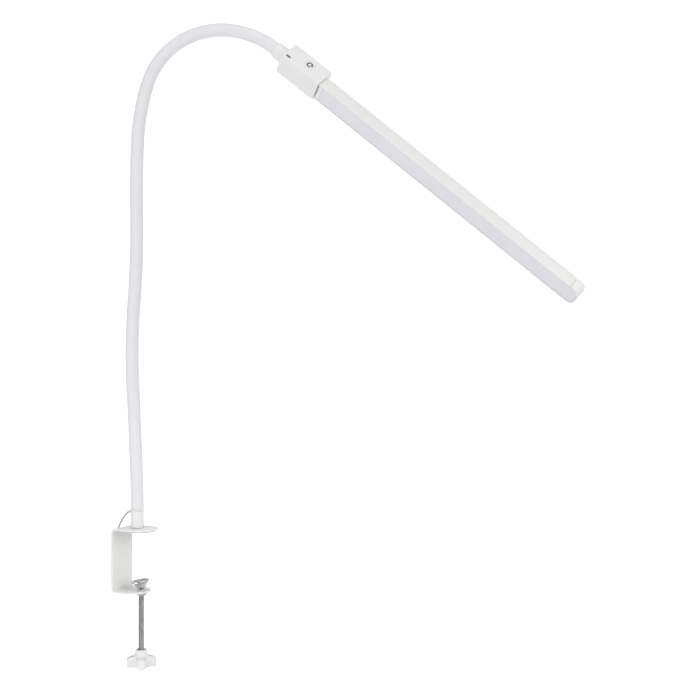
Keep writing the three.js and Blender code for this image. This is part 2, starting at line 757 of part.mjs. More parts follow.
function makeCord() {
  const radius = cord.diameter / 2;
  const route = new THREE.CatmullRomCurve3(cordRoute.map((p) => new THREE.Vector3(...p)));
  add(root, "power_cord", swept(route, radius, 0, 16, 8), "cordGrey");

  const outer = cord.fold + (cord.lanes - 0.5) * cord.diameter;
  const thick = cord.layers * cord.diameter;
  const [x, y] = cord.hankAxis;
  const turn = radians(cord.hankAzimuth);
  const middle = cord.hankTop - cord.hankHeight / 2;
  const bundle = place(root, [x, y, middle], [0, 0, turn]);
  const outline = roundedRectangle(2 * outer, cord.hankHeight, outer);
  const hank = raised(outline, -thick / 2, thick / 2, 10).rotate([90, 0, 0]);
  add(bundle, "cord_hank", hank, "cordGrey");

  const inX = outer + CLEARANCE;
  const inY = thick / 2 + CLEARANCE;
  const band = (grow) => roundedRectangle(2 * (inX + grow), 2 * (inY + grow), 1 + grow);
  const wrap = raised(band(tie.thickness), -tie.height / 2, tie.height / 2, 4);
  add(bundle, "cord_tie", wrap.subtract(raised(band(0), -tie.height, tie.height, 4)), "darkPlastic");
  makePlug(bundle, outer, thick);
}

// The tail folds over from the hank's outermost run, and its plug hangs beside the hank.
function makePlug(bundle, outer, thick) {
  const radius = cord.diameter / 2;
  const layer = -(thick - cord.diameter) / 2;
  const foldTop = cord.hankHeight / 2 - outer;
  const plugX = outer - radius + 2 * cord.tailFold;
  const tailStart = place(bundle, [plugX, layer, foldTop], [0, 0, Math.PI]);
  const halfTurn = Math.PI * cord.tailFold;
  const tail = swept(new Arc(halfTurn, Math.PI, 0, halfTurn - cord.foldInHank), radius, 0, 8, 8);
  add(tailStart, "cord_tail", tail, "cordGrey");

  const top = -CLEARANCE;
  const bodyTop = top - plug.relief;
  const bottom = bodyTop - plug.length;
  const relief = turned([
    [0, bodyTop - 1],
    [plug.reliefRadius + 0.8, bodyTop - 1],
    [plug.reliefRadius, top],
    [0, top],
  ], FEW_SIDES);
  const outline = roundedRectangle(plug.width, plug.thickness, 2.4);
  const body = raised(outline, bottom, bodyTop, 5).add(relief);
  add(tailStart, "plug_body", body, "whitePlastic");
  const shellTop = bottom - CLEARANCE;
  const outerShell = roundedRectangle(shell.width, shell.thickness, 0.4);
  const innerShell = roundedRectangle(shell.width - 2 * shell.wall, shell.thickness - 2 * shell.wall, 0.3);
  const tube = raised(outerShell, shellTop - shell.length, shellTop, 2)
    .subtract(raised(innerShell, shellTop - shell.length - 1, shellTop - 3, 2));
  add(tailStart, "plug_shell", tube, "steel");
}

makeClamp();
makeSocket();
makeScrew();
makeHead(makeNeck());
makeCord();

export default root;
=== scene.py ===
"""The looks of a clamp-on gooseneck desk lamp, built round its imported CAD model.

Sizes are in millimetres in the CAD's own frame. A piece's mesh becomes metres when it is placed.
"""

import json
from math import ceil, cos, pi, radians, sin, sqrt, tan

import bmesh
import bpy
from mathutils import Matrix, Vector

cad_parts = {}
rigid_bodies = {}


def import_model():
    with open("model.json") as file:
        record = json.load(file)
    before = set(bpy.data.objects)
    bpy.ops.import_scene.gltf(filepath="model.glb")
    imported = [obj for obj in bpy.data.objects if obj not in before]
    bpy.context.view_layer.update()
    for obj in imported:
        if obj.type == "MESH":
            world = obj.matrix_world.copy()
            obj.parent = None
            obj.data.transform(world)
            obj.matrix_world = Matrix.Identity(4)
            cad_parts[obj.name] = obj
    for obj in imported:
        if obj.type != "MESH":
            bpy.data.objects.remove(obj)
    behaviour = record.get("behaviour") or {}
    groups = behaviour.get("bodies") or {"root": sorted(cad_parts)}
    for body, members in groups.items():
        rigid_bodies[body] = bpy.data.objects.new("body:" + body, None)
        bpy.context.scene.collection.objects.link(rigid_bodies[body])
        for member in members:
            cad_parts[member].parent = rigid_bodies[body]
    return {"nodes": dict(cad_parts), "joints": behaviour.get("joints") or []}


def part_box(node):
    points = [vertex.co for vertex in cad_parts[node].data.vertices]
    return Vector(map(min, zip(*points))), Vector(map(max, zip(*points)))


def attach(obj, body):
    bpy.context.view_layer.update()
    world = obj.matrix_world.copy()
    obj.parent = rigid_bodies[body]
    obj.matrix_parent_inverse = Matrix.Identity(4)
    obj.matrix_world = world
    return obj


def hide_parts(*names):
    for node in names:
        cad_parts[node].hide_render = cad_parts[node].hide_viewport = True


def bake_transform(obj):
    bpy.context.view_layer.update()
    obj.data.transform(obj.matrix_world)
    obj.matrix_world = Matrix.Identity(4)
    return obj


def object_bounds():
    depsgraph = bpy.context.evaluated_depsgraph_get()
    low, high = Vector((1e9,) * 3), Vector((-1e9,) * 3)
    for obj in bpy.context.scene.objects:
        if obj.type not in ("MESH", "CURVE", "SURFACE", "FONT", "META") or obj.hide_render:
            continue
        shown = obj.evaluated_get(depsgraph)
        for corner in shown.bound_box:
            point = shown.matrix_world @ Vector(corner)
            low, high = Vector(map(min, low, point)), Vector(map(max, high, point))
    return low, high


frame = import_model()
cad_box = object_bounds()

MM = 0.001
JOINTS = {joint["name"]: joint for joint in frame["joints"]}
UP = Vector((0, 0, 1))


def box_mm(node):
    low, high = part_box(node)
    return low / MM, high / MM


def middle_mm(node):
    low, high = box_mm(node)
    return (low + high) / 2


def added(name, data):
    """A new object in the scene."""
    made = bpy.data.objects.new(name, data)
    bpy.context.scene.collection.objects.link(made)
    return made


# ---------------- camera

CAMERA_TURN = radians(26)  # of the view away from the clamp's own +Y
CAMERA_DISTANCE = 1240
CAMERA_HEIGHT = 188.4
LAMP_LEFT = 217  # the gooseneck's foot is this far left of the view's middle
LENS = 62.28
SENSOR = 36
RIGHT = Vector((cos(CAMERA_TURN), sin(CAMERA_TURN), 0))
AHEAD = Vector((-sin(CAMERA_TURN), cos(CAMERA_TURN), 0))


def make_camera():
    data = bpy.data.cameras.new("camera")
    data.lens = LENS
    data.sensor_width = SENSOR
    data.clip_start = 0.05
    data.clip_end = 100
    camera = added("camera", data)
    camera.location = (LAMP_LEFT * RIGHT - CAMERA_DISTANCE * AHEAD + CAMERA_HEIGHT * UP) * MM
    camera.rotation_euler = (pi / 2, 0, CAMERA_TURN)
    bpy.context.scene.camera = camera


make_camera()

# ---------------- outlines

LONGEST_REACH = 0.499  # of an edge that the arc at one of its corners may take up


def smooth_step(x):
    x = min(1, max(0, x))
    return x * x * (3 - 2 * x)


def rounded(corners, closed=True, steps=5):
    """The outline through (x, y, radius) corners, with an arc of that radius at each."""
    line = []
    last = len(corners) - 1
    for i, (x, y, radius) in enumerate(corners):
        here = Vector((x, y))
        if radius == 0 or (not closed and i in (0, last)):
            line.append(here)
            continue
        back = Vector(corners[i - 1][:2]) - here
        on = Vector(corners[(i + 1) % len(corners)][:2]) - here
        half = back.angle(on) / 2
        reach = min(radius / tan(half), LONGEST_REACH * back.length, LONGEST_REACH * on.length)
        size = reach * tan(half)
        centre = here + (back.normalized() + on.normalized()).normalized() * size / sin(half)
        start = here + back.normalized() * reach - centre
        end = here + on.normalized() * reach - centre
        turn = start.angle(end)
        for k in range(steps + 1):
            share = k / steps
            part = start * sin((1 - share) * turn) + end * sin(share * turn)
            line.append(centre + part / sin(turn))
    return line


def oblong(width, height, radius, steps=6, x=0, y=0):
    a, b = width / 2, height / 2
    corners = [(x - a, y - b, radius), (x + a, y - b, radius), (x + a, y + b, radius), (x - a, y + b, radius)]
    return rounded(corners, steps=steps)


def full_turn(steps):
    return [2 * pi * k / steps for k in range(steps)]


def hexagon(across_flats):
    radius = across_flats / sqrt(3)
    return [Vector((radius * cos(t), radius * sin(t))) for t in full_turn(6)]


# ---------------- solids, in millimetres

SAME_PLACE = 1e-4
SAME_HEIGHT = 1e-6


def tidied(mesh):
    """Joins doubled points, drops what has no area and turns the faces outwards."""
    made = bmesh.new()
    made.from_mesh(mesh)
    bmesh.ops.remove_doubles(made, verts=made.verts, dist=SAME_PLACE)
    bmesh.ops.dissolve_degenerate(made, edges=made.edges, dist=SAME_PLACE)
    bmesh.ops.recalc_face_normals(made, faces=made.faces)
    made.to_mesh(mesh)
    made.free()
    return mesh


def skin(loops, ring=False, capped=True):
    """A closed solid over loops of equally many points. A ring joins its last loop to its first."""
    count = len(loops[0])
    points = [tuple(point) for loop in loops for point in loop]
    faces = []
    for i in range(len(loops) if ring else len(loops) - 1):
        a, b = i * count, (i + 1) % len(loops) * count
        for j in range(count):
            k = (j + 1) % count
            faces.append((a + j, a + k, b + k, b + j))
    if capped and not ring:
        faces.append(tuple(reversed(range(count))))
        faces.append(tuple(range(len(points) - count, len(points))))
    mesh = bpy.data.meshes.new("skin")
    mesh.from_pydata(points, [], faces)
    return tidied(mesh)


def lathe(profile, sides=64, ring=False):
    """A round about Z. Its (radius, height) profile starts and ends on the axis, unless it is a ring."""
    turns = full_turn(sides)
    loops = [[(r * cos(t), r * sin(t), z) for t in turns] for r, z in profile]
    if not ring:
        for end in (0, -1):
            loops[end] = [(0, 0, profile[end][1])] * sides
    return skin(loops, ring, capped=False)


def turned(corners, steps, sides, ring=False):
    """A round whose profile goes through (radius, height, rounding) corners."""
    return lathe(rounded(corners, closed=ring, steps=steps), sides, ring)


def rod(radius, low, high, sides):
    return lathe([(0, low), (radius, low), (radius, high), (0, high)], sides)


def plate(outline, low, high, edge, steps=4):
    """A flat outline in XY, raised from low to high along Z, with its rims rounded."""
    made = bmesh.new()
    made.faces.new([made.verts.new((x, y, low)) for x, y in outline])
    top = bmesh.ops.extrude_face_region(made, geom=made.faces[:])
    raised = [v for v in top["geom"] if isinstance(v, bmesh.types.BMVert)]
    bmesh.ops.translate(made, verts=raised, vec=(0, 0, high - low))
    bmesh.ops.recalc_face_normals(made, faces=made.faces)
    if edge:
        rims = [e for e in made.edges if abs(e.verts[0].co.z - e.verts[1].co.z) < SAME_HEIGHT]
        settings = {"offset_type": "OFFSET", "affect": "EDGES", "clamp_overlap": True, "profile": 0.5}
        bmesh.ops.bevel(made, geom=rims, offset=edge, segments=steps, **settings)
    mesh = bpy.data.meshes.new("plate")
    made.to_mesh(mesh)
    made.free()
    return tidied(mesh)


def moved(mesh, matrix):
    mesh.transform(matrix)
    return mesh


def put(x=0, y=0, z=0):
    return Matrix.Translation((x, y, z))


def turn_about(axis, degrees):
    return Matrix.Rotation(radians(degrees), 4, axis)


def combined(mesh, others, operation):
    """The solid joined with the others, or cut by them."""
    holder = added("holder", mesh)
    for other in others:
        change = holder.modifiers.new("change", "BOOLEAN")
        change.operation = operation
        change.solver = "EXACT"
        change.object = added("tool", other)
    result = bpy.data.meshes.new_from_object(holder.evaluated_get(bpy.context.evaluated_depsgraph_get()))
    for used in [holder] + [change.object for change in holder.modifiers]:
        bpy.data.objects.remove(used)
    return tidied(result)


def cut(mesh, *tools):
    return combined(mesh, tools, "DIFFERENCE")


def joined(mesh, *others):
    return combined(mesh, others, "UNION")


def pieces_of(meshes):
    """Several solids that don't touch, as one mesh."""
    made = bmesh.new()
    for mesh in meshes:
        made.from_mesh(mesh)
    result = bpy.data.meshes.new("pieces")
    made.to_mesh(result)
    made.free()
    return result


# ---------------- materials

SMOOTH_ANGLE = radians(32)


class Shader:
    """A node material with helpers for its patterns. Its coordinates are the piece's own, in metres."""

    def __init__(self, name, **settings):
        self.material = bpy.data.materials.new(name)
        self.material.use_nodes = True
        self.nodes = self.material.node_tree.nodes
        self.links = self.material.node_tree.links
        self.surface = self.nodes["Principled BSDF"]
        for key, value in settings.items():
            self.surface.inputs[key.replace("_", " ").title().replace("Ior", "IOR")].default_value = value
        self.place = self.nodes.new("ShaderNodeTexCoord").outputs["Object"]

    def stretched(self, scale):
        mapping = self.nodes.new("ShaderNodeMapping")
        mapping.inputs["Scale"].default_value = scale
        self.links.new(self.place, mapping.inputs["Vector"])
        return mapping.outputs["Vector"]

    def pattern(self, kind, size, place):
        node = self.nodes.new("ShaderNodeTex" + kind)
        node.inputs["Scale"].default_value = 1 / (size * MM)
        self.links.new(place, node.inputs["Vector"])
        return node

    def noise(self, size, detail=3, stretch=None):
        """Noise with patches of about that size, in millimetres."""
        node = self.pattern("Noise", size, self.stretched(stretch) if stretch else self.place)
        node.inputs["Detail"].default_value = detail
        return node.outputs["Fac"]

    def cells(self, size, feature="F1"):
        node = self.pattern("Voronoi", size, self.place)
        node.feature = feature
        return node.outputs["Distance"]

    def spread(self, value, low, high, start=0.3, end=0.7):
        node = self.nodes.new("ShaderNodeMapRange")
        for key, number in (("From Min", start), ("From Max", end), ("To Min", low), ("To Max", high)):
            node.inputs[key].default_value = number
        self.links.new(value, node.inputs["Value"])
        return node.outputs["Result"]

    def roughness(self, value, low, high):
        self.links.new(self.spread(value, low, high), self.surface.inputs["Roughness"])

    def colour(self, value, first, second, start=0.3, end=0.7):
        node = self.nodes.new("ShaderNodeMix")
        node.data_type = "RGBA"
        node.inputs["A"].default_value = (*first, 1)
        node.inputs["B"].default_value = (*second, 1)
        self.links.new(self.spread(value, 0, 1, start, end), node.inputs["Factor"])
        self.links.new(node.outputs["Result"], self.surface.inputs["Base Color"])

    def relief(self, *layers):
        """Bump from (pattern, height in millimetres) layers."""
        normal = None
        for value, height in layers:
            node = self.nodes.new("ShaderNodeBump")
            node.inputs["Strength"].default_value = 1
            node.inputs["Distance"].default_value = height * MM
            self.links.new(value, node.inputs["Height"])
            if normal:
                self.links.new(normal, node.inputs["Normal"])
            normal = node.outputs["Normal"]
        self.links.new(normal, self.surface.inputs["Normal"])


def shade(colour, share):
    return tuple(min(1, channel * share) for channel in colour)


def coated_steel(name, colour):
    """Powder coat: a fine orange peel over a slow waviness."""
    shader = Shader(name, metallic=0, coat_weight=0.15, coat_roughness=0.25)
    shader.colour(shader.noise(9), shade(colour, 0.985), shade(colour, 1.01))
    shader.roughness(shader.noise(2.5), 0.38, 0.5)
    shader.relief((shader.noise(1.6, 2), 0.008), (shader.cells(0.35), 0.001))
    return shader.material


def moulded(name, colour, grain=0.35, low=0.4, high=0.52):
    """Moulded plastic: a fine spark texture and faint flow marks."""
    shader = Shader(name, metallic=0, specular_ior_level=0.45)
    shader.colour(shader.noise(14, 2, (1, 1, 0.4)), shade(colour, 0.985), shade(colour, 1.01))
    shader.roughness(shader.noise(1.6), low, high)
    shader.relief((shader.noise(grain, 2), 0.0015), (shader.noise(7, 2), 0.02))
    return shader.material


def soft_sleeve(name, colour):
    """A soft sleeve: satin, with long faint draw marks and a light sheen."""
    shader = Shader(name, metallic=0, sheen_weight=0.08, sheen_roughness=0.4)
    shader.colour(shader.noise(30, 3), shade(colour, 0.98), shade(colour, 1.01))
    shader.roughness(shader.noise(5), 0.42, 0.55)
    shader.relief((shader.noise(6, 2, (1, 1, 0.15)), 0.02), (shader.noise(0.5, 2), 0.0012))
    return shader.material


def rubber(name, colour, grain=0.3):
    shader = Shader(name, metallic=0, specular_ior_level=0.35)
    shader.colour(shader.noise(4), shade(colour, 0.95), shade(colour, 1.02))
    shader.roughness(shader.noise(1.5), 0.62, 0.78)
    shader.relief((shader.noise(grain, 3), 0.02))
    return shader.material


def metal(name, colour, low, high, stretch=(1, 1, 0.05)):
    """Metal with fine tool marks along one of its axes."""
    shader = Shader(name, metallic=1)
    shader.colour(shader.noise(5, 3), shade(colour, 0.92), shade(colour, 1.04))
    shader.roughness(shader.noise(1.2, 3), low, high)
    shader.relief((shader.noise(0.25, 2, stretch), 0.004))
    return shader.material


def opal(name, colour):
    """Opal acrylic, with a fine matt grain."""
    shader = Shader(name, metallic=0, specular_ior_level=0.4)
    shader.colour(shader.noise(22, 2), shade(colour, 0.985), shade(colour, 1.01))
    shader.roughness(shader.noise(2.2), 0.36, 0.46)
    shader.relief((shader.noise(0.4, 2), 0.0012))
    return shader.material


def board(name, mask, metal_colour):
    """A circuit board: solder mask with bare pads."""
    shader = Shader(name, metallic=0)
    shader.colour(shader.cells(2.6), metal_colour, mask, 0.16, 0.2)
    shader.roughness(shader.noise(1), 0.3, 0.5)
    shader.relief((shader.cells(1.3, "DISTANCE_TO_EDGE"), 0.03))
    return shader.material


LOOKS = {
    "bracket": coated_steel("white_powder_coat", (0.80, 0.80, 0.785)),
    "moulding": moulded("white_moulding", (0.80, 0.80, 0.79)),
    "knob": moulded("white_knob_moulding", (0.80, 0.80, 0.80), 0.45, 0.42, 0.56),
    "jacket": soft_sleeve("white_sleeve", (0.76, 0.765, 0.78)),
    "channel": coated_steel("white_channel_coat", (0.78, 0.78, 0.765)),
    "opal": opal("opal_diffuser", (0.75, 0.745, 0.775)),
    "pad": rubber("grey_pad", (0.62, 0.62, 0.62)),
    "grip": rubber("dark_grip", (0.46, 0.46, 0.45), 0.5),
    "bright_steel": metal("bright_steel", (0.50, 0.505, 0.51), 0.08, 0.16),
    "plain_steel": metal("plain_steel", (0.52, 0.53, 0.54), 0.26, 0.42),
    "cup": metal("cup_steel", (0.66, 0.67, 0.67), 0.08, 0.16, (1, 1, 1)),
    "brass": metal("brass", (0.62, 0.48, 0.22), 0.25, 0.4),
    "dark_plastic": moulded("dark_plastic", (0.025, 0.025, 0.028), 0.3, 0.3, 0.42),
    "print": moulded("grey_print", (0.03, 0.03, 0.028), 0.2, 0.5, 0.6),
    "window": moulded("smoked_window", (0.10, 0.10, 0.095), 0.3, 0.25, 0.35),
    "cord": rubber("grey_cord", (0.52, 0.52, 0.53), 0.6),
    "board": board("board_green", (0.03, 0.16, 0.07), (0.6, 0.5, 0.3)),
    "leds": board("led_board", (0.78, 0.78, 0.76), (0.8, 0.62, 0.12)),
}


# ---------------- placing


def shown(name, mesh, look, body, replaced=(), place=None, blended=None):
    """Adds a piece: its mesh in millimetres, placed in the CAD's frame, riding on its body, or fixed in place
    when blended.
    """
    if place:
        mesh.transform(place)
    mesh.transform(Matrix.Scale(MM, 4))
    mesh.name = name
    mesh.materials.clear()
    mesh.materials.append(LOOKS[look])
    mesh.shade_smooth()
    mesh.set_sharp_from_angle(angle=SMOOTH_ANGLE)
    piece = added(name, mesh)
    if blended:
        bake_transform(piece)
    else:
        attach(piece, body)
    if replaced:
        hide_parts(*replaced)


def frame_of(origin, x, z):
    """A placing matrix from an origin and two directions."""
    z = Vector(z).normalized()
    y = z.cross(Vector(x)).normalized()
    x = y.cross(z)
    made = Matrix((x, y, z)).transposed().to_4x4()
    made.translation = origin
    return made


# ---------------- cord

CORD = 2.2
HANK_FOLD = 6.6  # radius of the innermost folds
HANK_LANES = 2
HANK_LAYERS = 6
HANK_TURN = radians(126)  # of the whole hank about Z
WINDS = [1, 0, 0, 1]  # the lanes that two layers' turns lie in, in their order
FIRST_SHIFT = 0.72  # of a turn, where the first turn moves over to the next place
SHIFT_LEAD = 0.05  # each turn moves over this much of a turn earlier than the last
SHIFT_SPAN = 0.14
HANK_TURNS = 10.75
TAIL_FOLD = 6.8
TURN_STEPS = 48  # of the cord's line in each turn

# From the grommet, over the clamp's top bend, to the hank behind its web.
CORD_ROUTE = [
    (-0.0095, 0, 0.01965), (-0.01175, -0.0001, 0.0186), (-0.0144, -0.0003, 0.0163),
    (-0.0170, -0.0004, 0.0130), (-0.0195, -0.0005, 0.0094), (-0.0218, -0.0004, 0.0055),
    (-0.0242, 0.0004, 0.0016), (-0.0271, 0.0021, -0.0023), (-0.0302, 0.0049, -0.0058),
    (-0.0326, 0.0076, -0.0091), (-0.0337, 0.0092, -0.0128),
]

hank_low, hank_high = box_mm("cord_hank")
HANK_OUTER = HANK_FOLD + (HANK_LANES - 0.5) * CORD
HANK_RUN = (hank_high.z - hank_low.z) / 2 - HANK_OUTER  # half of a straight run
hank_place = put(*(hank_low + hank_high) / 2) @ Matrix.Rotation(HANK_TURN, 4, "Z")


def hank_spot(turns):
    """The lane and layer that the cord is in after that many turns."""
    places = []
    for n in range(HANK_LANES * HANK_LAYERS):
        layer = (HANK_LAYERS - 1) / 2 - n // HANK_LANES
        places.append(Vector((WINDS[n % len(WINDS)], layer * CORD)))
    spot = places[0].copy()
    for n in range(len(places) - 1):
        middle = FIRST_SHIFT + n * (1 - SHIFT_LEAD)
        spot += (places[n + 1] - places[n]) * smooth_step((turns - middle) / SHIFT_SPAN + 0.5)
    return spot


def hank_point(turns):
    """The cord's middle after that many turns, in the hank's own frame: down, round, up and round."""
    lane, layer = hank_spot(turns)
    radius = HANK_FOLD + lane * CORD
    quarter, share = divmod(turns % 1 * 4, 1)
    side = -1 if quarter < 2 else 1
    if quarter % 2 == 0:
        return Vector((side * radius, layer, side * HANK_RUN * (2 * share - 1)))
    swing = pi * share
    return Vector((side * radius * cos(swing), layer, side * (HANK_RUN + radius * sin(swing))))


def tail_point(share):
    """The tail's fold, from the hank's outer lane to the plug, in the hank's own frame."""
    swing = pi * share
    x = HANK_FOLD + (HANK_LANES - 1) * CORD + TAIL_FOLD * (1 - cos(swing))
    return Vector((x, hank_spot(HANK_TURNS).y, HANK_RUN + TAIL_FOLD * sin(swing)))


def through(points, steps):
    """A smooth line through points set at about the same distances (Catmull and Rom's)."""
    ends = [2 * points[0] - points[1]] + points + [2 * points[-1] - points[-2]]
    line = []
    for a, b, c, d in zip(ends, ends[1:], ends[2:], ends[3:]):
        for k in range(steps):
            t = k / steps
            part = 2 * b + (c - a) * t + (2 * a - 5 * b + 4 * c - d) * t * t
            line.append((part + (3 * b - a - 3 * c + d) * t**3) / 2)
    return line + [points[-1]]


def cord_line():
    """The whole cord's middle, in millimetres."""
    route = [Vector(point) / MM for point in CORD_ROUTE]
    route.append(hank_place @ hank_point(0))
    line = through(route, 4)
    steps = round(HANK_TURNS * TURN_STEPS)
    line += [hank_place @ hank_point(HANK_TURNS * k / steps) for k in range(1, steps)]
    return line + [hank_place @ tail_point(k / 16) for k in range(17)]


def make_plug():
    """The plug hangs at the tail's end: a ribbed relief, a grip and its metal shell."""
    place = hank_place @ put(*tail_point(1))
    relief, length, width, thickness = 7, 20, 13.6, 7.4
    grip_top = -relief - 0.3
    ribs = [(0, -0.3, 0), (CORD / 2 + 0.9, -0.3, 0.3)]
    for k in range(4):
        z = -1.3 - k * 1.4
        ribs += [(2.1 + 0.15 * k, z, 0.15), (1.7 + 0.15 * k, z - 0.3, 0.1)]
        ribs += [(1.7 + 0.15 * k, z - 0.7, 0.1), (2.2 + 0.15 * k, z - 1, 0.15)]
    ribs += [(2.8, grip_top, 0.2), (2.8, -relief - 1, 0), (0, -relief - 1, 0)]
    grip = plate(oblong(width, thickness, 2.4, 8), grip_top - length, grip_top, 0.9, 5)
    dimples = []
    for side in (-1, 1):
        for k in range(4):
            bar = plate(oblong(6, 0.9, 0.4, 4), -0.35, 0.35, 0)
            place_bar = put(0, side * thickness / 2, -relief - 7 - 2.4 * k) @ turn_about("X", 90)
            dimples.append(moved(bar, place_bar))
    body = joined(cut(grip, *dimples), turned(ribs, 3, 32))
    shown("plug_grip", body, "moulding", "clamp", ["plug_body"], place)

    shell_length, shell_wall, seam = 12, 0.55, 0.3
    high = grip_top - length - seam
    low = high - shell_length
    shell = plate(oblong(12, 4.5, 0.6, 4), low, high, 0.2, 3)
    hollow = plate(oblong(12 - 2 * shell_wall, 4.5 - 2 * shell_wall, 0.3, 4), low - 1, high - 3, 0)
    windows = [moved(plate(oblong(2.2, 2.2, 0.2, 3), 1, 3, 0), put(x, 0, 0)) for x in (-2.9, 2.9)]
    windows = [moved(mesh, put(0, 0, low + 5.6) @ turn_about("X", 90)) for mesh in windows]
    shown("plug_tip", cut(shell, hollow, *windows), "plain_steel", "clamp", ["plug_shell"], place)
    tongue = plate(oblong(10.2, 1.5, 0.2, 3), low + 1.2, high - 3.2, 0.1, 2)
    shown("plug_tongue", moved(tongue, put(0, -0.7, 0)), "dark_plastic", "clamp", (), place)


def make_cord():
    curve = bpy.data.curves.new("lead", "CURVE")
    curve.dimensions = "3D"
    line = cord_line()
    spline = curve.splines.new("POLY")
    spline.points.add(len(line) - 1)
    for point, (x, y, z) in zip(spline.points, line):
        point.co = (x * MM, y * MM, z * MM, 1)
    spline.use_smooth = True
    curve.bevel_depth = CORD / 2 * MM
    curve.bevel_resolution = 3
    curve.use_fill_caps = True
    curve.materials.append(LOOKS["cord"])
    lead = added("lead", curve)
    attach(lead, "clamp")
    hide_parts("power_cord", "cord_hank", "cord_tail")
    make_plug()


def make_tie():
    """A twist tie: a flat band round the hank's middle with its two ends twisted."""
    slack, band, half_width = 0.35, 0.8, 2.3
    twist_steps, twist_turn, twist_step = 40, 9, 0.1
    twist_width, twist_thickness = 1.3, 0.55  # halves
    reach_x = HANK_OUTER + slack
    reach_y = HANK_LAYERS * CORD / 2 + slack
    outline = oblong(2 * (reach_x + band), 2 * (reach_y + band), 3.2, 8)
    inside = oblong(2 * reach_x, 2 * reach_y, 2.4, 8)
    wrap = cut(plate(outline, -half_width, half_width, 0.3, 3), plate(inside, -4, 4, 0))
    loops = []
    for k in range(twist_steps + 1):
        spin = radians(twist_turn * k)
        across = Vector((0, cos(spin), sin(spin)))
        thick = Vector((0, -sin(spin), cos(spin)))
        middle = Vector((-reach_x - band * 0.6 - k * twist_step, 0, 0))
        side, rim = across * twist_width, thick * twist_thickness
        loops.append([middle - side - rim, middle + side - rim, middle + side + rim, middle - side + rim])
    shown("twist_tie", joined(wrap, skin(loops)), "dark_plastic", "clamp", ["cord_tie"], hank_place)


make_tie()
make_cord()

# ---------------- clamp

SHEET = 2.2
BEND = 2.4  # inside radius
BRACKET_EDGE = 0.55

bracket_low, bracket_high = box_mm("clamp_bracket")
JAW_WIDTH = bracket_high.y - bracket_low.y
BRACKET_WEB = bracket_high.z - bracket_low.z - 2 * (BEND + SHEET)
BEND_X = bracket_low.x + SHEET + BEND
BEND_STEPS = 12
screw_axis = middle_mm("swivel_ball")
LOWER_TIP = 13
INSERT_HOLE = 4.8
CORD_EXIT_Z = 20.4
CORD_EXIT_SLOPE = 15


def bent(mesh):
    """Bends a flat plate, long in X, into the clamp's C: upper jaw, web and lower jaw."""
    middle = BEND + SHEET / 2
    straight = bracket_high.x - BEND_X
    quarter = middle * pi / 2
    top_z = bracket_high.z - SHEET - BEND
    low_z = bracket_low.z + SHEET + BEND
    made = bmesh.new()
    made.from_mesh(mesh)
    second = straight + quarter + BRACKET_WEB
    for start in (straight, second):
        for k in range(BEND_STEPS + 1):
            everything = made.verts[:] + made.edges[:] + made.faces[:]
            where = (start + quarter * k / BEND_STEPS, 0, 0)
            bmesh.ops.bisect_plane(made, geom=everything, plane_co=where, plane_no=(1, 0, 0))
    for vert in made.verts:
        along, across, up = vert.co
        reach = middle + up
        if along <= straight:
            vert.co = (bracket_high.x - along, across, bracket_high.z - SHEET / 2 + up)
        elif along <= straight + quarter:
            swing = (along - straight) / middle
            vert.co = (BEND_X - reach * sin(swing), across, top_z + reach * cos(swing))
        elif along <= second:
            vert.co = (BEND_X - reach, across, top_z - (along - straight - quarter))
        elif along <= second + quarter:
            swing = (along - second) / middle
            vert.co = (BEND_X - reach * cos(swing), across, low_z - reach * sin(swing))
        else:
            vert.co = (BEND_X + along - second - quarter, across, low_z - reach)
    made.to_mesh(mesh)
    made.free()
    return mesh


def make_bracket():
    half = JAW_WIDTH / 2
    length = bracket_high.x + LOWER_TIP - 2 * BEND_X + (BEND + SHEET / 2) * pi + BRACKET_WEB
    steps = 40
    swings = [pi * k / steps for k in range(steps + 1)]
    outline = [Vector((half - half * sin(s), half * cos(s))) for s in swings]
    outline += [Vector((length - half + half * sin(s), -half * cos(s))) for s in swings]
    bracket = bent(plate(outline, -SHEET / 2, SHEET / 2, BRACKET_EDGE, 4))
    hole = moved(rod(INSERT_HOLE, bracket_low.z - 10, bracket_low.z + 5, 48), put(screw_axis.x))
    sink = lathe([(0, -1), (5.05, -1), (5.05, 1.4), (2.8, 2.8), (2.8, 5), (0, 5)], 48)
    shown("bracket", cut(bracket, hole, sink), "bracket", "clamp", ["clamp_bracket"])

    pad_low, pad_high = box_mm("jaw_pad")
    width = pad_high.y - pad_low.y
    half = width / 2
    corners = [(pad_high.x - half + half * sin(s), -half * cos(s), 0) for s in swings]
    corners += [(pad_low.x, half, 2.5), (pad_low.x, -half, 2.5)]
    pad = plate(rounded(corners), pad_low.z, pad_high.z + 0.15, 0.25, 3)
    grooves = []
    for k in range(-4, 5):
        bar = plate(oblong(0.8, width - 5, 0.39, 4), pad_low.z - 0.5, pad_low.z + 0.35, 0)
        grooves.append(moved(bar, put((pad_low.x + pad_high.x) / 2 - 2 + 2.4 * k)))
    shown("ribbed_pad", cut(pad, *grooves), "pad", "clamp", ["jaw_pad"])


def make_insert():
    """The threaded insert: its flange is rolled, and its bore is a plain hole."""
    low, high = box_mm("screw_insert")
    corners = [
        (3.3, low.z, 0.3), (4.5, low.z, 0.3), (4.5, low.z + 1.6, 0.15), (6, low.z + 1.6, 0.3),
        (6, low.z + 2.8, 0.2), (4.5, low.z + 2.8, 0.1), (4.5, high.z, 0.25), (3.3, high.z, 0.3),
    ]
    mesh = turned(corners, 3, 48, ring=True)
    shown("insert", mesh, "plain_steel", "clamp", ["screw_insert"], put(screw_axis.x))


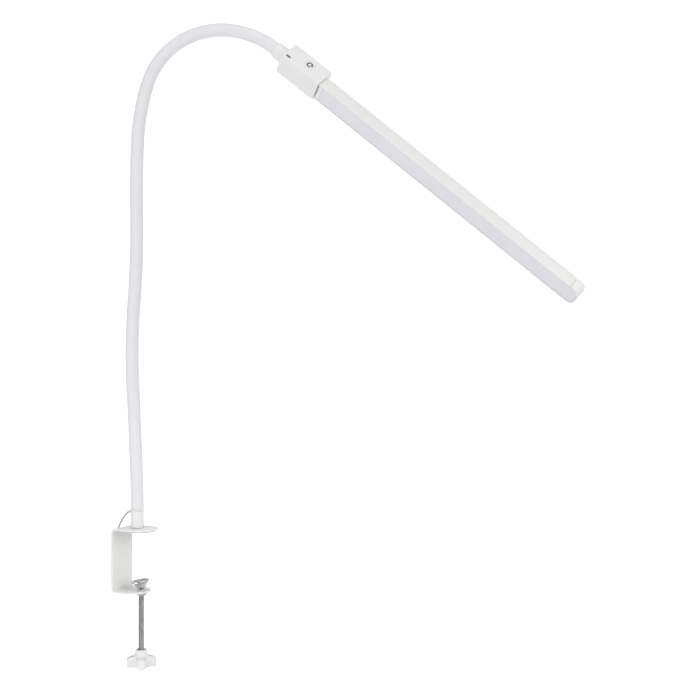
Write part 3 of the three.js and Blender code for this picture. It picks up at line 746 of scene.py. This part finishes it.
def make_socket():
    low, high = box_mm("neck_socket")
    ring_low, ring_high = box_mm("socket_ring")
    radius = high.x
    bore = 4.8
    corners = [
        (2.9, low.z, 0.1), (radius - 0.3, low.z, 0.3), (radius, low.z + 0.9, 0.6),
        (radius, high.z, 0.35), (bore, high.z, 0.2), (bore, low.z + 4, 0.3), (2.9, low.z + 4, 0.2),
    ]
    exit_place = put(-radius, 0, CORD_EXIT_Z) @ turn_about("Y", -90 - CORD_EXIT_SLOPE)
    tunnel = moved(rod(2.25, -4, 14, 32), exit_place)
    barrel = cut(turned(corners, 4, 72, ring=True), tunnel)
    shown("socket_barrel", barrel, "bracket", "clamp", ["neck_socket"])

    proud = ring_high.x
    corners = [
        (bore, ring_low.z, 0.1), (proud, ring_low.z, 0.25), (proud, ring_high.z - 0.2, 0.3),
        (radius - 0.3, ring_high.z, 0.2), (bore, ring_high.z, 0.1),
    ]
    band = cut(turned(corners, 4, 72, ring=True), tunnel.copy())
    shown("socket_band", band, "bracket", "clamp", ["socket_ring"])

    ribs = [(1.15, -1.8, 0.1), (2, -1.8, 0.1)]
    for k in range(3):
        z = 0.9 + 0.85 * k
        ribs += [(2 - 0.12 * k, z - 0.45, 0.1), (1.7 - 0.1 * k, z - 0.3, 0.1), (1.7 - 0.1 * k, z, 0.1)]
    ribs += [(1.72, 2.75, 0.15), (1.5, 3.0, 0.15), (1.15, 3.0, 0.1)]
    boot = turned(ribs, 3, 32, ring=True)
    shown("cord_boot", boot, "pad", "clamp", ["cord_grommet"], exit_place)

    bolt_low, bolt_high = box_mm("socket_screw")
    bolt = [
        (0, bolt_low.z, 0), (4.75, bolt_low.z, 0.1), (4.75, bolt_low.z + 0.2, 0.1),
        (2.5, bolt_low.z + 1.6, 0.1), (2.5, bolt_high.z, 0.3), (0, bolt_high.z, 0),
    ]
    drive = cross_recess(1.1, 5, 1.5)
    mesh = cut(turned(bolt, 3, 48), moved(drive, put(0, 0, bolt_low.z - 0.2)))
    shown("socket_bolt", mesh, "plain_steel", "clamp", ["socket_screw"])


def cross_recess(width, length, depth):
    """The solid that cuts a cross recess, standing on the XY plane."""
    arms = [plate(oblong(a, b, 0.2, 2), -0.5, depth, 0) for a, b in ((width, length), (length, width))]
    return joined(*arms)


make_bracket()
make_insert()
make_socket()

# ---------------- clamp screw

PITCH = 1.0
THREAD_DEPTH = 0.42
THREAD_OUTER = 3
BALL = 3.5
SEAT = 3.85
CUP_TILT = 8  # degrees


def make_screw():
    low, high = box_mm("clamp_screw")
    sides, rows, chamfer = 28, 7, 0.9
    thread_low = low.z + 6
    head_height, head_flats = 4, 10
    loops = []
    count = round((high.z - low.z) * rows)
    for i in range(count + 1):
        z = low.z + i / rows
        ease = min(1, (high.z - z) / chamfer, max(0, (z - thread_low) / 2))
        loop = []
        for k in range(sides):
            phase = (z / PITCH - k / sides) % 1
            crest = 1 - smooth_step(abs(2 * phase - 1) * 1.35 - 0.15)
            depth = THREAD_DEPTH * (1 - crest) * smooth_step(ease)
            radius = THREAD_OUTER - depth - 0.5 * (1 - min(1, (high.z - z) / chamfer))
            turn = 2 * pi * k / sides
            loop.append((radius * cos(turn), radius * sin(turn), z))
        loops.append(loop)
    mesh = joined(skin(loops), plate(hexagon(head_flats), low.z, low.z + head_height, 0.25, 2))
    shown("threaded_screw", mesh, "bright_steel", "screw", ["clamp_screw"], put(screw_axis.x))


def make_cup():
    """The cup turns on the screw's ball: a turned cone with a dished, grooved face."""
    axis = Vector(JOINTS["cup_tilt"]["axis"])
    place = frame_of(screw_axis, axis, Matrix.Rotation(radians(CUP_TILT), 3, axis) @ UP)
    swings = [pi * k / 24 for k in range(25)]
    ball = lathe([(BALL * sin(swing), -BALL * cos(swing)) for swing in swings], 48)
    shown("ball_end", ball, "bright_steel", "foot_carrier", ["swivel_ball"], put(*screw_axis))
    outside = [
        (SEAT, -0.8, 0.1), (4.9, -0.8, 0.3), (5.5, 1, 0.8), (7.5, 3.9, 0.5), (9.5, 4.9, 0.35),
        (9.5, 6.5, 0.35), (8.2, 6.5, 0.15), (8.0, 6.05, 0.1),
    ]
    seat = [(SEAT * cos(a), SEAT * sin(a)) for a in [radians(9 * k) for k in range(11)]]
    line = [tuple(p) for p in rounded(outside, closed=False, steps=4)]
    profile = [(0, 6.05)] + line[::-1] + seat[1:-1] + [(0, SEAT)]
    shown("swivel_cup", lathe(profile, 72), "cup", "cup", ["pressure_cup"], place)
    grip = [(0, 6.1), (7.9, 6.1), (7.9, 6.3)]
    for k in range(6):
        r = 7.5 - k * 1.2
        grip += [(r, 6.5), (r - 0.5, 6.5), (r - 0.6, 6.25), (r - 1, 6.25)]
    grip += [(0, 6.25)]
    shown("cup_grip", lathe(grip, 64), "grip", "cup", (), place)


def star_solid(outline, edge, height_at, scales):
    """A solid on a star-shaped outline with rounded rims, whose top rises towards its middle."""
    count = len(outline)
    normals = []
    for i in range(count):
        along = outline[(i + 1) % count] - outline[i - 1]
        normals.append(Vector((along.y, -along.x)).normalized())

    def ring(inset, scale=1):
        return [(point - normal * inset) * scale for point, normal in zip(outline, normals)]

    swings = [pi / 2 * k / 5 for k in range(6)]
    loops = [[(*point, 0) for point in ring(edge, 0.4)]]
    for swing in swings:
        loops.append([(*p, edge * (1 - cos(swing))) for p in ring(edge * (1 - sin(swing)))])
    for swing in swings:
        rim = ring(edge * (1 - cos(swing)))
        loops.append([(*p, height_at(p.length) - edge * (1 - sin(swing))) for p in rim])
    for scale in scales:
        loops.append([(*p, height_at(p.length)) for p in ring(edge, scale)])
    return skin(loops)


def make_knob():
    low, high = box_mm("screw_knob")
    cap_low, cap_high = box_mm("knob_cap")
    height, reach, half = high.z - low.z, 15, 4.7
    tip_height, root_height = 9.4, 12.4  # of the arms' sloped tops
    hub_radius, web_radius = 6.3, 8.2
    corners = []
    for k in range(4):
        spin = Matrix.Rotation(pi / 2 * k, 2)
        for x, y, radius in ((half, -half, 6), (reach, -half, 3.2), (reach, half, 3.2)):
            corners.append((*(spin @ Vector((x, y))), radius))

    def arm_top(radius):
        share = (reach - radius) / (reach - hub_radius)
        return tip_height + (root_height - tip_height) * min(1, max(0, share))

    arms = star_solid(rounded(corners, steps=7), 1.3, arm_top, (0.85, 0.7, 0.55, 0.4))
    hub = [
        (0, 1, 0), (web_radius, 1, 0), (web_radius, 11.2, 1.6), (hub_radius, 14, 2),
        (hub_radius, height, 0.8), (4.7, height, 0.4), (4.4, height - 2, 0.2), (0, height - 2, 0),
    ]
    dimples = [moved(rod(1.7, 8, 15, 24), put(0, y)) for y in (-9, 9)]
    bore = rod(3.3, -1, height, 40)
    recess = rod(7.3, -1, 1.9, 56)
    pocket = plate(hexagon(10.6), 1.5, 6.5, 0)
    solid = joined(arms, turned(hub, 5, 56))
    solid = cut(solid, bore, recess, pocket, *dimples)
    place = put(screw_axis.x, 0, low.z) @ turn_about("Z", -54)
    shown("knob", solid, "knob", "screw", ["screw_knob"], place)
    disc = [(0, 0, 0), (7, 0, 0.5), (7, cap_high.z - cap_low.z, 0.2), (0, cap_high.z - cap_low.z, 0)]
    ring = lathe([(5.6, -0.5), (5.9, -0.5), (5.9, 0.25), (5.6, 0.25)], 56, ring=True)
    mesh = cut(turned(disc, 4, 56), ring)
    shown("knob_disc", mesh, "moulding", "screw", ["knob_cap"], place)


make_screw()
make_cup()
make_knob()

# ---------------- gooseneck

NECK_START = 20
SLEEVE_OUTER = 6.7
SLEEVE_INNER = 4.75
TUBE_OUTER = 4.4
FERRULE_GRIP = 9.7
BEND_SHARE = 0.97  # of the shorter half of a sleeve, for a bend span that is worked out but not applied


def neck_arcs():
    """Each length of the neck's middle line as (start, direction there, end, direction there)."""
    names = [f"neck_bend_{k}" for k in range(1, 9)] + ["head_roll"]
    ends = [Vector(JOINTS[name]["pos_m"]) / MM for name in names]
    arcs = []
    here, ahead = Vector((0, 0, NECK_START)), UP.copy()
    for end in ends:
        chord = (end - here).normalized()
        leaving = (2 * chord.dot(ahead) * chord - ahead).normalized()
        arcs.append((here, ahead, end, leaving))
        here, ahead = end, leaving
    return arcs


def arc_line(arc, low, high, step=2.0):
    """(point, direction) pairs on an arc, between two shares of it."""
    start, ahead, end, leaving = arc
    turn = ahead.angle(leaving)
    chord = end - start
    length = chord.length * (turn / 2) / sin(turn / 2)
    radius = length / turn
    side = (leaving - ahead * cos(turn)).normalized()
    count = max(2, ceil(length * (high - low) / step))
    line = []
    for k in range(count + 1):
        swing = turn * (low + (high - low) * k / count)
        point = start + radius * (ahead * sin(swing) + side * (1 - cos(swing)))
        line.append((point, ahead * cos(swing) + side * sin(swing)))
    return line


def neck_skin(line, outer, inner, across, sides):
    """A tube along a line in the neck's plane. across is the plane's normal."""
    turns = full_turn(sides)
    loops = []
    for radius, ordered in ((outer, line), (inner, line[::-1])):
        for point, ahead in ordered:
            out = ahead.cross(across).normalized()
            loops.append([point + radius * (out * cos(t) + across * sin(t)) for t in turns])
    return skin(loops, ring=True)


def make_neck():
    arcs = neck_arcs()
    across = Vector(JOINTS["neck_bend_1"]["axis"]).normalized()
    for k in range(1, len(arcs)):
        before = arc_line(arcs[k - 1], 0 if k == 1 else 0.5, 1)
        after = arc_line(arcs[k], 0, 0.5 if k < len(arcs) - 1 else 1)
        line = before[:-1] + after
        tube = list(line)
        if k == 1:
            socket_top = box_mm("socket_ring")[1].z
            line = [(Vector((0, 0, socket_top + 0.1)), UP)] + [p for p in line if p[0].z > socket_top + 1]
            tube = [(Vector((0, 0, box_mm("neck_core_0")[0].z)), UP)] + tube[1:]
        if k == len(arcs) - 1:
            point, ahead = line[-1]
            grip = [(point + ahead * FERRULE_GRIP * share, ahead) for share in (0.33, 0.66, 1)]
            line = line + grip
            tube = tube + grip
        joint = JOINTS[f"neck_bend_{k}"]
        pivot, ahead = before[-1]
        bodies = (joint["parent"], joint["child"])
        reach = BEND_SHARE * min((pivot - before[0][0]).length, (after[-1][0] - pivot).length)
        span = (pivot - ahead * reach, pivot + ahead * reach)
        blended = (*bodies, span[0] * MM, span[1] * MM)
        stood_for = [0, 1] if k == 1 else [k]
        sleeve = neck_skin(line, SLEEVE_OUTER, SLEEVE_INNER, across, 48)
        jackets = [f"neck_jacket_{n}" for n in stood_for]
        shown(f"neck_sleeve_{k}", sleeve, "jacket", None, jackets, blended=blended)
        tube_skin = neck_skin(tube, TUBE_OUTER, TUBE_OUTER - 1.2, across, 24)
        cores = [f"neck_core_{n}" for n in stood_for]
        shown(f"neck_tube_{k}", tube_skin, "plain_steel", None, cores, blended=blended)


make_neck()

# ---------------- switch head

HEAD_SIDE = 25
HEAD_LENGTH = 48
HEAD_WALL = 2
HEAD_START = 13.3
HEAD_CORNER = 2.4
HEAD_HALF = HEAD_SIDE / 2
BUTTON_Z = HEAD_START + 27.4
WINDOW_X = HEAD_HALF - 3.5
WINDOW_Z = HEAD_START + 6
COVER_SCREWS_FROM_END = 5
GAP = 0.3  # round what fits into the head and the bar

BAR_WIDTH = 20
BAR_DEPTH = 16
BAR_WALL = 1.6
BAR_INSET_A = 2.5
BAR_INSET_B = 1.7
BAR_LENGTH = 330.3
CAP_LENGTH = 12.5
CAP_ROUND = 8
BAR_START = HEAD_START + HEAD_LENGTH + 1.2
BAR_FACE = HEAD_HALF - BAR_INSET_B
BAR_BACK = BAR_FACE - BAR_DEPTH
BAR_MIDDLE = (BAR_WIDTH - HEAD_SIDE) / 2 + BAR_INSET_A
CHANNEL_END = BAR_LENGTH - CAP_LENGTH
DIFFUSER_TOP = BAR_FACE - 0.4
DIFFUSER_UNDER = DIFFUSER_TOP - 1.8
CLIP_LENGTH = 4.2
TONGUE_WIDTH = 14
TONGUE_THICKNESS = 7
BOLT_Z = 8
BOLT_HOLE = 1.8

roll = JOINTS["head_roll"]
press_axis = Vector(JOINTS["power_press"]["axis"])
roll_axis = Vector(roll["axis"])
head_place = frame_of(Vector(roll["pos_m"]) / MM, press_axis.cross(roll_axis), roll_axis)
bar_place = head_place @ put(0, 0, BAR_START)
bolt_place = put(0, BAR_MIDDLE, BOLT_Z) @ turn_about("Y", 90)


def on_head(name, mesh, look, replaced):
    shown(name, mesh, look, "head", replaced, head_place)


def on_bar(name, mesh, look, replaced):
    shown(name, mesh, look, "head", replaced, bar_place)


def across_head(mesh, x, z):
    """Turns a solid's +Z to the head's -Y, the side that the button is on, and puts it at x and z."""
    return moved(mesh, put(x, 0, z) @ turn_about("X", 90))


def make_ferrule():
    corners = [
        (6.95, 0, 0.25), (7.5, 0, 0.4), (8.2, 1.1, 1.2), (8.2, 13, 0.4), (4, 13, 0.2), (4, 21.9, 0.4),
        (2, 21.9, 0.2), (2, 10, 0.1), (6.95, 10, 0.1),
    ]
    mesh = turned(corners, 5, 72, ring=True)
    shown("head_collar", mesh, "moulding", "neck_8", ["head_ferrule"], head_place)


def make_housing():
    half = HEAD_HALF
    inner = half - HEAD_WALL
    top = HEAD_START + HEAD_LENGTH
    outside = plate(oblong(HEAD_SIDE, HEAD_SIDE, HEAD_CORNER, 7), HEAD_START, top, 1.1, 5)
    hollow = oblong(2 * inner, inner + half + 1, 0.01, 1, 0, (half + 1 - inner) / 2)
    hollow = plate(hollow, HEAD_START + HEAD_WALL, top - HEAD_WALL, 0)
    stud_hole = rod(4.3, HEAD_START - 1, HEAD_START + 3, 40)
    button_hole = across_head(rod(5.65, inner - 1, half + 1, 64), 0, BUTTON_Z)
    slot = plate(oblong(2.6, 5.6, 1.25, 6), inner - 1, half + 1, 0)
    slot = across_head(slot, WINDOW_X, WINDOW_Z)
    mesh = cut(outside, hollow, stud_hole, button_hole, slot, tongue_block(GAP, top - 3, top + 1))
    on_head("head_shell", mesh, "moulding", ["head_housing"])


def tongue_block(extra, low, high):
    """The joining tongue's block, or the hole for it."""
    x = BAR_BACK + BAR_WALL + GAP + TONGUE_THICKNESS / 2
    outline = oblong(TONGUE_THICKNESS + 2 * extra, TONGUE_WIDTH + 2 * extra, 0.3, 2, x, BAR_MIDDLE)
    return plate(outline, low, high, 0)


def make_cover():
    half = HEAD_HALF
    inner = half - HEAD_WALL - GAP
    length = HEAD_LENGTH - 2 * (HEAD_WALL + GAP)
    lid = plate(oblong(2 * inner, length, 0.8, 4), -half, -half + 2, 0.35, 3)
    middle = HEAD_START + HEAD_LENGTH / 2
    holes = []
    for number, z in ((1, COVER_SCREWS_FROM_END), (2, HEAD_LENGTH - COVER_SCREWS_FROM_END)):
        z += HEAD_START
        sink = [(0, -half - 1), (2.6, -half - 1), (2.6, -half + 1.3), (1.6, -half + 1.3), (1.6, -5), (0, -5)]
        holes.append(moved(lathe(sink, 32), put(0, z - middle)))
        corners = [
            (0, -half + 0.1, 0), (2.3, -half + 0.1, 0.4), (2.3, -half + 1.1, 0.1),
            (1.3, -half + 1.1, 0.1), (1.3, -half + 5.3, 0.3), (0, -half + 5.3, 0),
        ]
        recess = moved(cross_recess(0.55, 2.4, 0.7), put(0, 0, -half))
        bolt = across_head(cut(turned(corners, 3, 32), recess), 0, z)
        on_head(f"cover_bolt_{number}", bolt, "plain_steel", [f"cover_screw_{number}"])
    lid = across_head(cut(lid, *holes), 0, middle)
    on_head("head_lid", lid, "moulding", ["head_cover"])


def make_button():
    half, z = HEAD_HALF, BUTTON_Z
    top = half + 0.3
    flange = turned([(0, 10.1, 0), (6.4, 10.1, 0.1), (6.4, 9.4, 0.1), (0, 9.4, 0)], 2, 56)
    dish = [(0, 10, 0), (5.5, 10, 0), (5.5, top, 0.45), (4.4, top - 0.02, 0.4), (0, top - 0.16, 0)]
    cap = joined(turned(dish, 4, 64), flange)
    shown("button_cap", across_head(cap, 0, z), "moulding", "button", ["power_button"], head_place)
    section = ((2.1, top - 0.2), (3.5, top - 0.2), (3.5, top - 0.04), (2.1, top - 0.04))
    steps, first, sweep = 28, 50, 280  # the symbol's open ring, in degrees
    loops = []
    for k in range(steps + 1):
        turn = radians(first + sweep * k / steps)
        way = Vector((sin(turn), cos(turn), 0))
        loops.append([way * radius + UP * height for radius, height in section])
    stroke = plate(oblong(1.4, 3.6, 0.6, 4, 0, 2.2), top - 0.2, top - 0.04, 0)
    icon = pieces_of([skin(loops), stroke])
    shown("power_mark", across_head(icon, 0, z), "print", "button", (), head_place)
    window = plate(oblong(2, 5, 0.95, 6), half - 2, half - 0.1, 0.15, 3)
    window = across_head(window, WINDOW_X, WINDOW_Z)
    on_head("indicator_window", window, "window", ["indicator_lens"])


# ---------------- light bar


def make_channel():
    """The bar's channel: a rounded U with its diffuser's ledges."""
    half, lip = BAR_WIDTH / 2, BAR_WIDTH / 2 - BAR_WALL
    ledge_top = DIFFUSER_UNDER - GAP
    right = [
        (BAR_BACK, half, 1.2), (BAR_FACE, half, 0.8), (BAR_FACE, lip, 0.3), (ledge_top, lip, 0.1),
        (ledge_top, lip - 1, 0.15), (ledge_top - 1.3, lip - 1, 0.15), (ledge_top - 1.3, lip, 0.2),
        (BAR_BACK + BAR_WALL, lip, 0.8),
    ]
    corners = right + [(x, -y, radius) for x, y, radius in reversed(right)]
    outline = [point + Vector((0, BAR_MIDDLE)) for point in rounded(corners, steps=4)]
    mesh = plate(outline, 0, CHANNEL_END, 0)
    depth = DIFFUSER_UNDER - 4 - BAR_BACK - GAP
    spigot = oblong(depth, BAR_WIDTH - 2 * GAP, 0.9, 3, BAR_BACK + GAP + depth / 2, BAR_MIDDLE)
    side = oblong(BAR_DEPTH - 1.2, 1.4, 0.3, 3, (BAR_BACK + BAR_FACE) / 2, BAR_MIDDLE - half + 1)
    spigot = cut(plate(spigot, -1.1, 0.8, 0), tongue_block(GAP, -5, 5))
    mesh = joined(mesh, spigot, plate(side, -1.1, 0.8, 0))
    on_bar("bar_channel", cut(mesh, bolt_hole(0)), "channel", ["bar_housing"])

    bolt = [(0, BAR_BACK - 1.7, 0), (2.8, BAR_BACK - 1.7, 0.8), (2.8, BAR_BACK - 0.3, 0.15)]
    bolt += [(1.5, BAR_BACK - 0.3, 0.1), (1.5, BAR_BACK + 8.5, 0.3), (0, BAR_BACK + 8.5, 0)]
    recess = moved(cross_recess(0.7, 3.0, 0.8), put(0, 0, BAR_BACK - 1.7))
    mesh = moved(cut(turned(bolt, 4, 40), recess), bolt_place)
    on_bar("joiner_bolt", mesh, "plain_steel", ["joiner_screw"])
    tongue = cut(tongue_block(0, -14.2, 16), bolt_hole(12))
    on_bar("joiner_tongue", tongue, "plain_steel", ["bar_joiner"])


def bolt_hole(top):
    """The hole for the joining bolt, through the bar's back and up to that height."""
    return moved(rod(BOLT_HOLE, -12, top, 32), bolt_place)


def tip_outline(half, start, end, radius):
    """A plate's outline with a rounded tip, in (x, y): x across the bar, y along it."""
    corners = [(-half, start, 0), (half, start, 0), (half, end, radius), (-half, end, radius)]
    return rounded(corners, steps=12)


def facing_light(mesh):
    """Turns a plate that lies in XY to lie along the bar, facing the light side."""
    return moved(mesh, Matrix(((0, 0, 1, 0), (1, 0, 0, BAR_MIDDLE), (0, 1, 0, 0), (0, 0, 0, 1))))


def make_light():
    seam = 0.12
    rim = BAR_WALL + seam
    inner = BAR_WIDTH / 2 - rim
    outline = tip_outline(inner, CLIP_LENGTH + seam, BAR_LENGTH - rim, CAP_ROUND - rim)
    sheet = facing_light(plate(outline, DIFFUSER_UNDER, DIFFUSER_TOP, 0.2, 3))
    on_bar("opal_cover", sheet, "opal", ["diffuser"])
    clip = oblong(2 * inner, CLIP_LENGTH, 0.3, 3, 0, CLIP_LENGTH / 2)
    foot = oblong(2 * inner, 2.4, 0.2, 2, 0, 1.25)
    clip = plate(clip, DIFFUSER_UNDER, DIFFUSER_TOP, 0.2, 3)
    clip = facing_light(joined(clip, plate(foot, DIFFUSER_UNDER - 4.2, DIFFUSER_UNDER + 0.5, 0)))
    on_bar("cover_clip", clip, "moulding", ["diffuser_clip"])


def make_cap():
    half = BAR_WIDTH / 2
    start = CHANNEL_END + GAP
    spare = 6  # is trimmed off again, which leaves a square edge
    outside = plate(tip_outline(half, start - spare, BAR_LENGTH, CAP_ROUND), BAR_BACK, BAR_FACE, 0.9, 5)
    trim = plate(oblong(3 * half, 2 * spare, 0.01, 1, 0, start - spare), BAR_BACK - 2, BAR_FACE + 2, 0)
    inner = half - BAR_WALL
    pocket = tip_outline(inner, start - 2 * spare, BAR_LENGTH - BAR_WALL, CAP_ROUND - BAR_WALL)
    pocket = plate(pocket, DIFFUSER_UNDER - GAP, BAR_FACE + 2, 0)
    low, high = BAR_BACK + BAR_WALL + GAP, DIFFUSER_UNDER - 2
    plug = plate(oblong(2 * (inner - GAP), 12, 0.6, 3, 0, start - 2.3), low, high, 0.3, 2)
    mesh = joined(cut(outside, trim, pocket), plug)
    on_bar("tip_cap", facing_light(mesh), "moulding", ["end_cap"])


make_ferrule()
make_housing()
make_cover()
make_button()
make_channel()
make_light()
make_cap()

# ---------------- the CAD's own pieces that stay

STAYING = {
    "friction_washer": ("pad", 0.15),
    "stud_nut": ("brass", 0.3),
    "control_board": ("board", 0.1),
    "tact_switch": ("dark_plastic", 0.2),
    "led_strip": ("leds", 0.1),
}

for node, (look, edge) in STAYING.items():
    kept = frame["nodes"][node]
    kept.data.materials.clear()
    kept.data.materials.append(LOOKS[look])
    bevel = kept.modifiers.new("edges", "BEVEL")
    bevel.width = edge * MM
    bevel.segments = 2
    bevel.limit_method = "ANGLE"
    bevel.angle_limit = radians(40)

# ---------------- floor and light

FLOOR_BELOW = 480  # from the lamp's lowest point
FLOOR_RADIUS = 20000
WORLD_LIGHT = 1.27
FLOOR_GLOW = 0.12
BACKDROP_GLOW = 0.75  # of the floor that the view shows
# The tent's brightness from behind the camera (-1) round its sides to the backdrop (1).
TENT_LEVELS = [(-1, 1), (-0.5, 0.68), (0.1, 0.3), (0.78, 0.4), (0.9, 0.95)]
WARM_SIDE = RIGHT + 0.6 * UP
WARM_LIGHT = (1.0, 1.0, 0.985)
COOL_LIGHT = (0.955, 0.95, 1.0)
CARD_FAR = 3000


def reach_along(direction, place, nodes, links):
    """How far a shader's place lies along a direction."""
    node = nodes.new("ShaderNodeVectorMath")
    node.operation = "DOT_PRODUCT"
    node.inputs[1].default_value = direction
    links.new(place, node.inputs[0])
    return node.outputs["Value"]


def make_floor():
    low = cad_box[0].z / MM - FLOOR_BELOW
    mesh = rod(FLOOR_RADIUS, low, low - 10, 64)
    mesh.transform(Matrix.Scale(MM, 4))
    shader = Shader("pale_floor", metallic=0, roughness=0.9, specular_ior_level=0)
    shader.colour(shader.noise(400), (0.97, 0.97, 0.97), (0.98, 0.98, 0.98))
    ahead = reach_along(AHEAD, shader.place, shader.nodes, shader.links)
    glow = shader.spread(ahead, FLOOR_GLOW, BACKDROP_GLOW, 0.9, 1.5)
    shader.links.new(glow, shader.surface.inputs["Emission Strength"])
    shader.surface.inputs["Emission Color"].default_value = (0.96, 0.955, 1, 1)
    mesh.materials.append(shader.material)
    added("floor", mesh)


def make_lamp(name, size, power, colour, place, look_at, spread=180):
    data = bpy.data.lights.new(name, "AREA")
    data.shape = "SQUARE"
    data.size = size
    data.spread = radians(spread)
    data.energy = power
    data.color = colour
    light = added(name, data)
    light.location = place
    light.rotation_mode = "QUATERNION"
    light.rotation_quaternion = (Vector(look_at) - Vector(place)).to_track_quat("-Z", "Y")


def make_light_tent():
    world = bpy.data.worlds.new("studio")
    world.use_nodes = True
    nodes, links = world.node_tree.nodes, world.node_tree.links
    background = nodes["Background"]
    place = nodes.new("ShaderNodeTexCoord").outputs["Generated"]

    def ramp(direction, stops):
        node = nodes.new("ShaderNodeMapRange")
        node.inputs["From Min"].default_value = -1
        links.new(reach_along(direction.normalized(), place, nodes, links), node.inputs["Value"])
        made = nodes.new("ShaderNodeValToRGB")
        links.new(node.outputs["Result"], made.inputs["Fac"])
        while len(made.color_ramp.elements) < len(stops):
            made.color_ramp.elements.new(0.5)
        for element, (where, colour) in zip(made.color_ramp.elements, stops):
            element.position = (where + 1) / 2
            element.color = (*colour, 1)
        return made.outputs["Color"]

    depth = ramp(AHEAD, [(at, (level,) * 3) for at, level in TENT_LEVELS])
    tint = ramp(WARM_SIDE, [(-1, COOL_LIGHT), (1, WARM_LIGHT)])
    mixed = nodes.new("ShaderNodeMix")
    mixed.data_type = "RGBA"
    mixed.blend_type = "MULTIPLY"
    mixed.inputs["Factor"].default_value = 1
    links.new(depth, mixed.inputs["A"])
    links.new(tint, mixed.inputs["B"])
    links.new(mixed.outputs["Result"], background.inputs["Color"])
    background.inputs["Strength"].default_value = WORLD_LIGHT
    bpy.context.scene.world = world
    bpy.context.scene.view_settings.view_transform = "Standard"
    bpy.context.scene.view_settings.look = "None"


def make_card(name, turns, heights, tone):
    """A dark card that only the shiny parts see. Its turns are clockwise from the camera's side."""
    points, faces = [], []
    count = 24
    for k in range(count + 1):
        turn = radians(turns[0] + (turns[1] - turns[0]) * k / count)
        way = -AHEAD * cos(turn) + RIGHT * sin(turn)
        points += [way * CARD_FAR + UP * height for height in heights]
    for k in range(count):
        faces.append((2 * k, 2 * k + 1, 2 * k + 3, 2 * k + 2))
    mesh = bpy.data.meshes.new(name)
    mesh.from_pydata([tuple(point * MM) for point in points], [], faces)
    shader = Shader(name, metallic=0, roughness=1, specular_ior_level=0)
    shader.colour(shader.noise(300), shade(tone, 0.96), tone)
    mesh.materials.append(shader.material)
    card = added(name, mesh)
    card.visible_camera = False
    card.visible_diffuse = False
    card.visible_shadow = False


make_floor()
make_light_tent()
tip = middle_mm("end_cap") * MM
lamp_middle = Vector((0.1, 0, 0.2))
jaws = middle_mm("clamp_bracket") * MM
make_lamp("top_box", 1.6, 4.5, (1, 1, 0.99), 1.9 * UP - 0.3 * AHEAD, lamp_middle)
make_lamp("clamp_box", 0.3, 0.04, (1, 1, 0.97), jaws + 0.45 * RIGHT - 0.3 * AHEAD + 0.19 * UP, jaws, 34)
make_lamp("left_box", 1.4, 10, (0.95, 0.94, 1), -1.5 * RIGHT - 1.2 * AHEAD - 0.35 * UP, lamp_middle)
make_lamp("tip_box", 0.4, 1.0, (1, 1, 0.98), tip + 0.5 * RIGHT + 0.35 * UP - 0.3 * AHEAD, tip)
make_card("dark_card", (-165, 4), (-600, 3200), (0.01, 0.01, 0.01))
make_card("grey_card", (34, 120), (-600, 1500), (0.75, 0.75, 0.75))
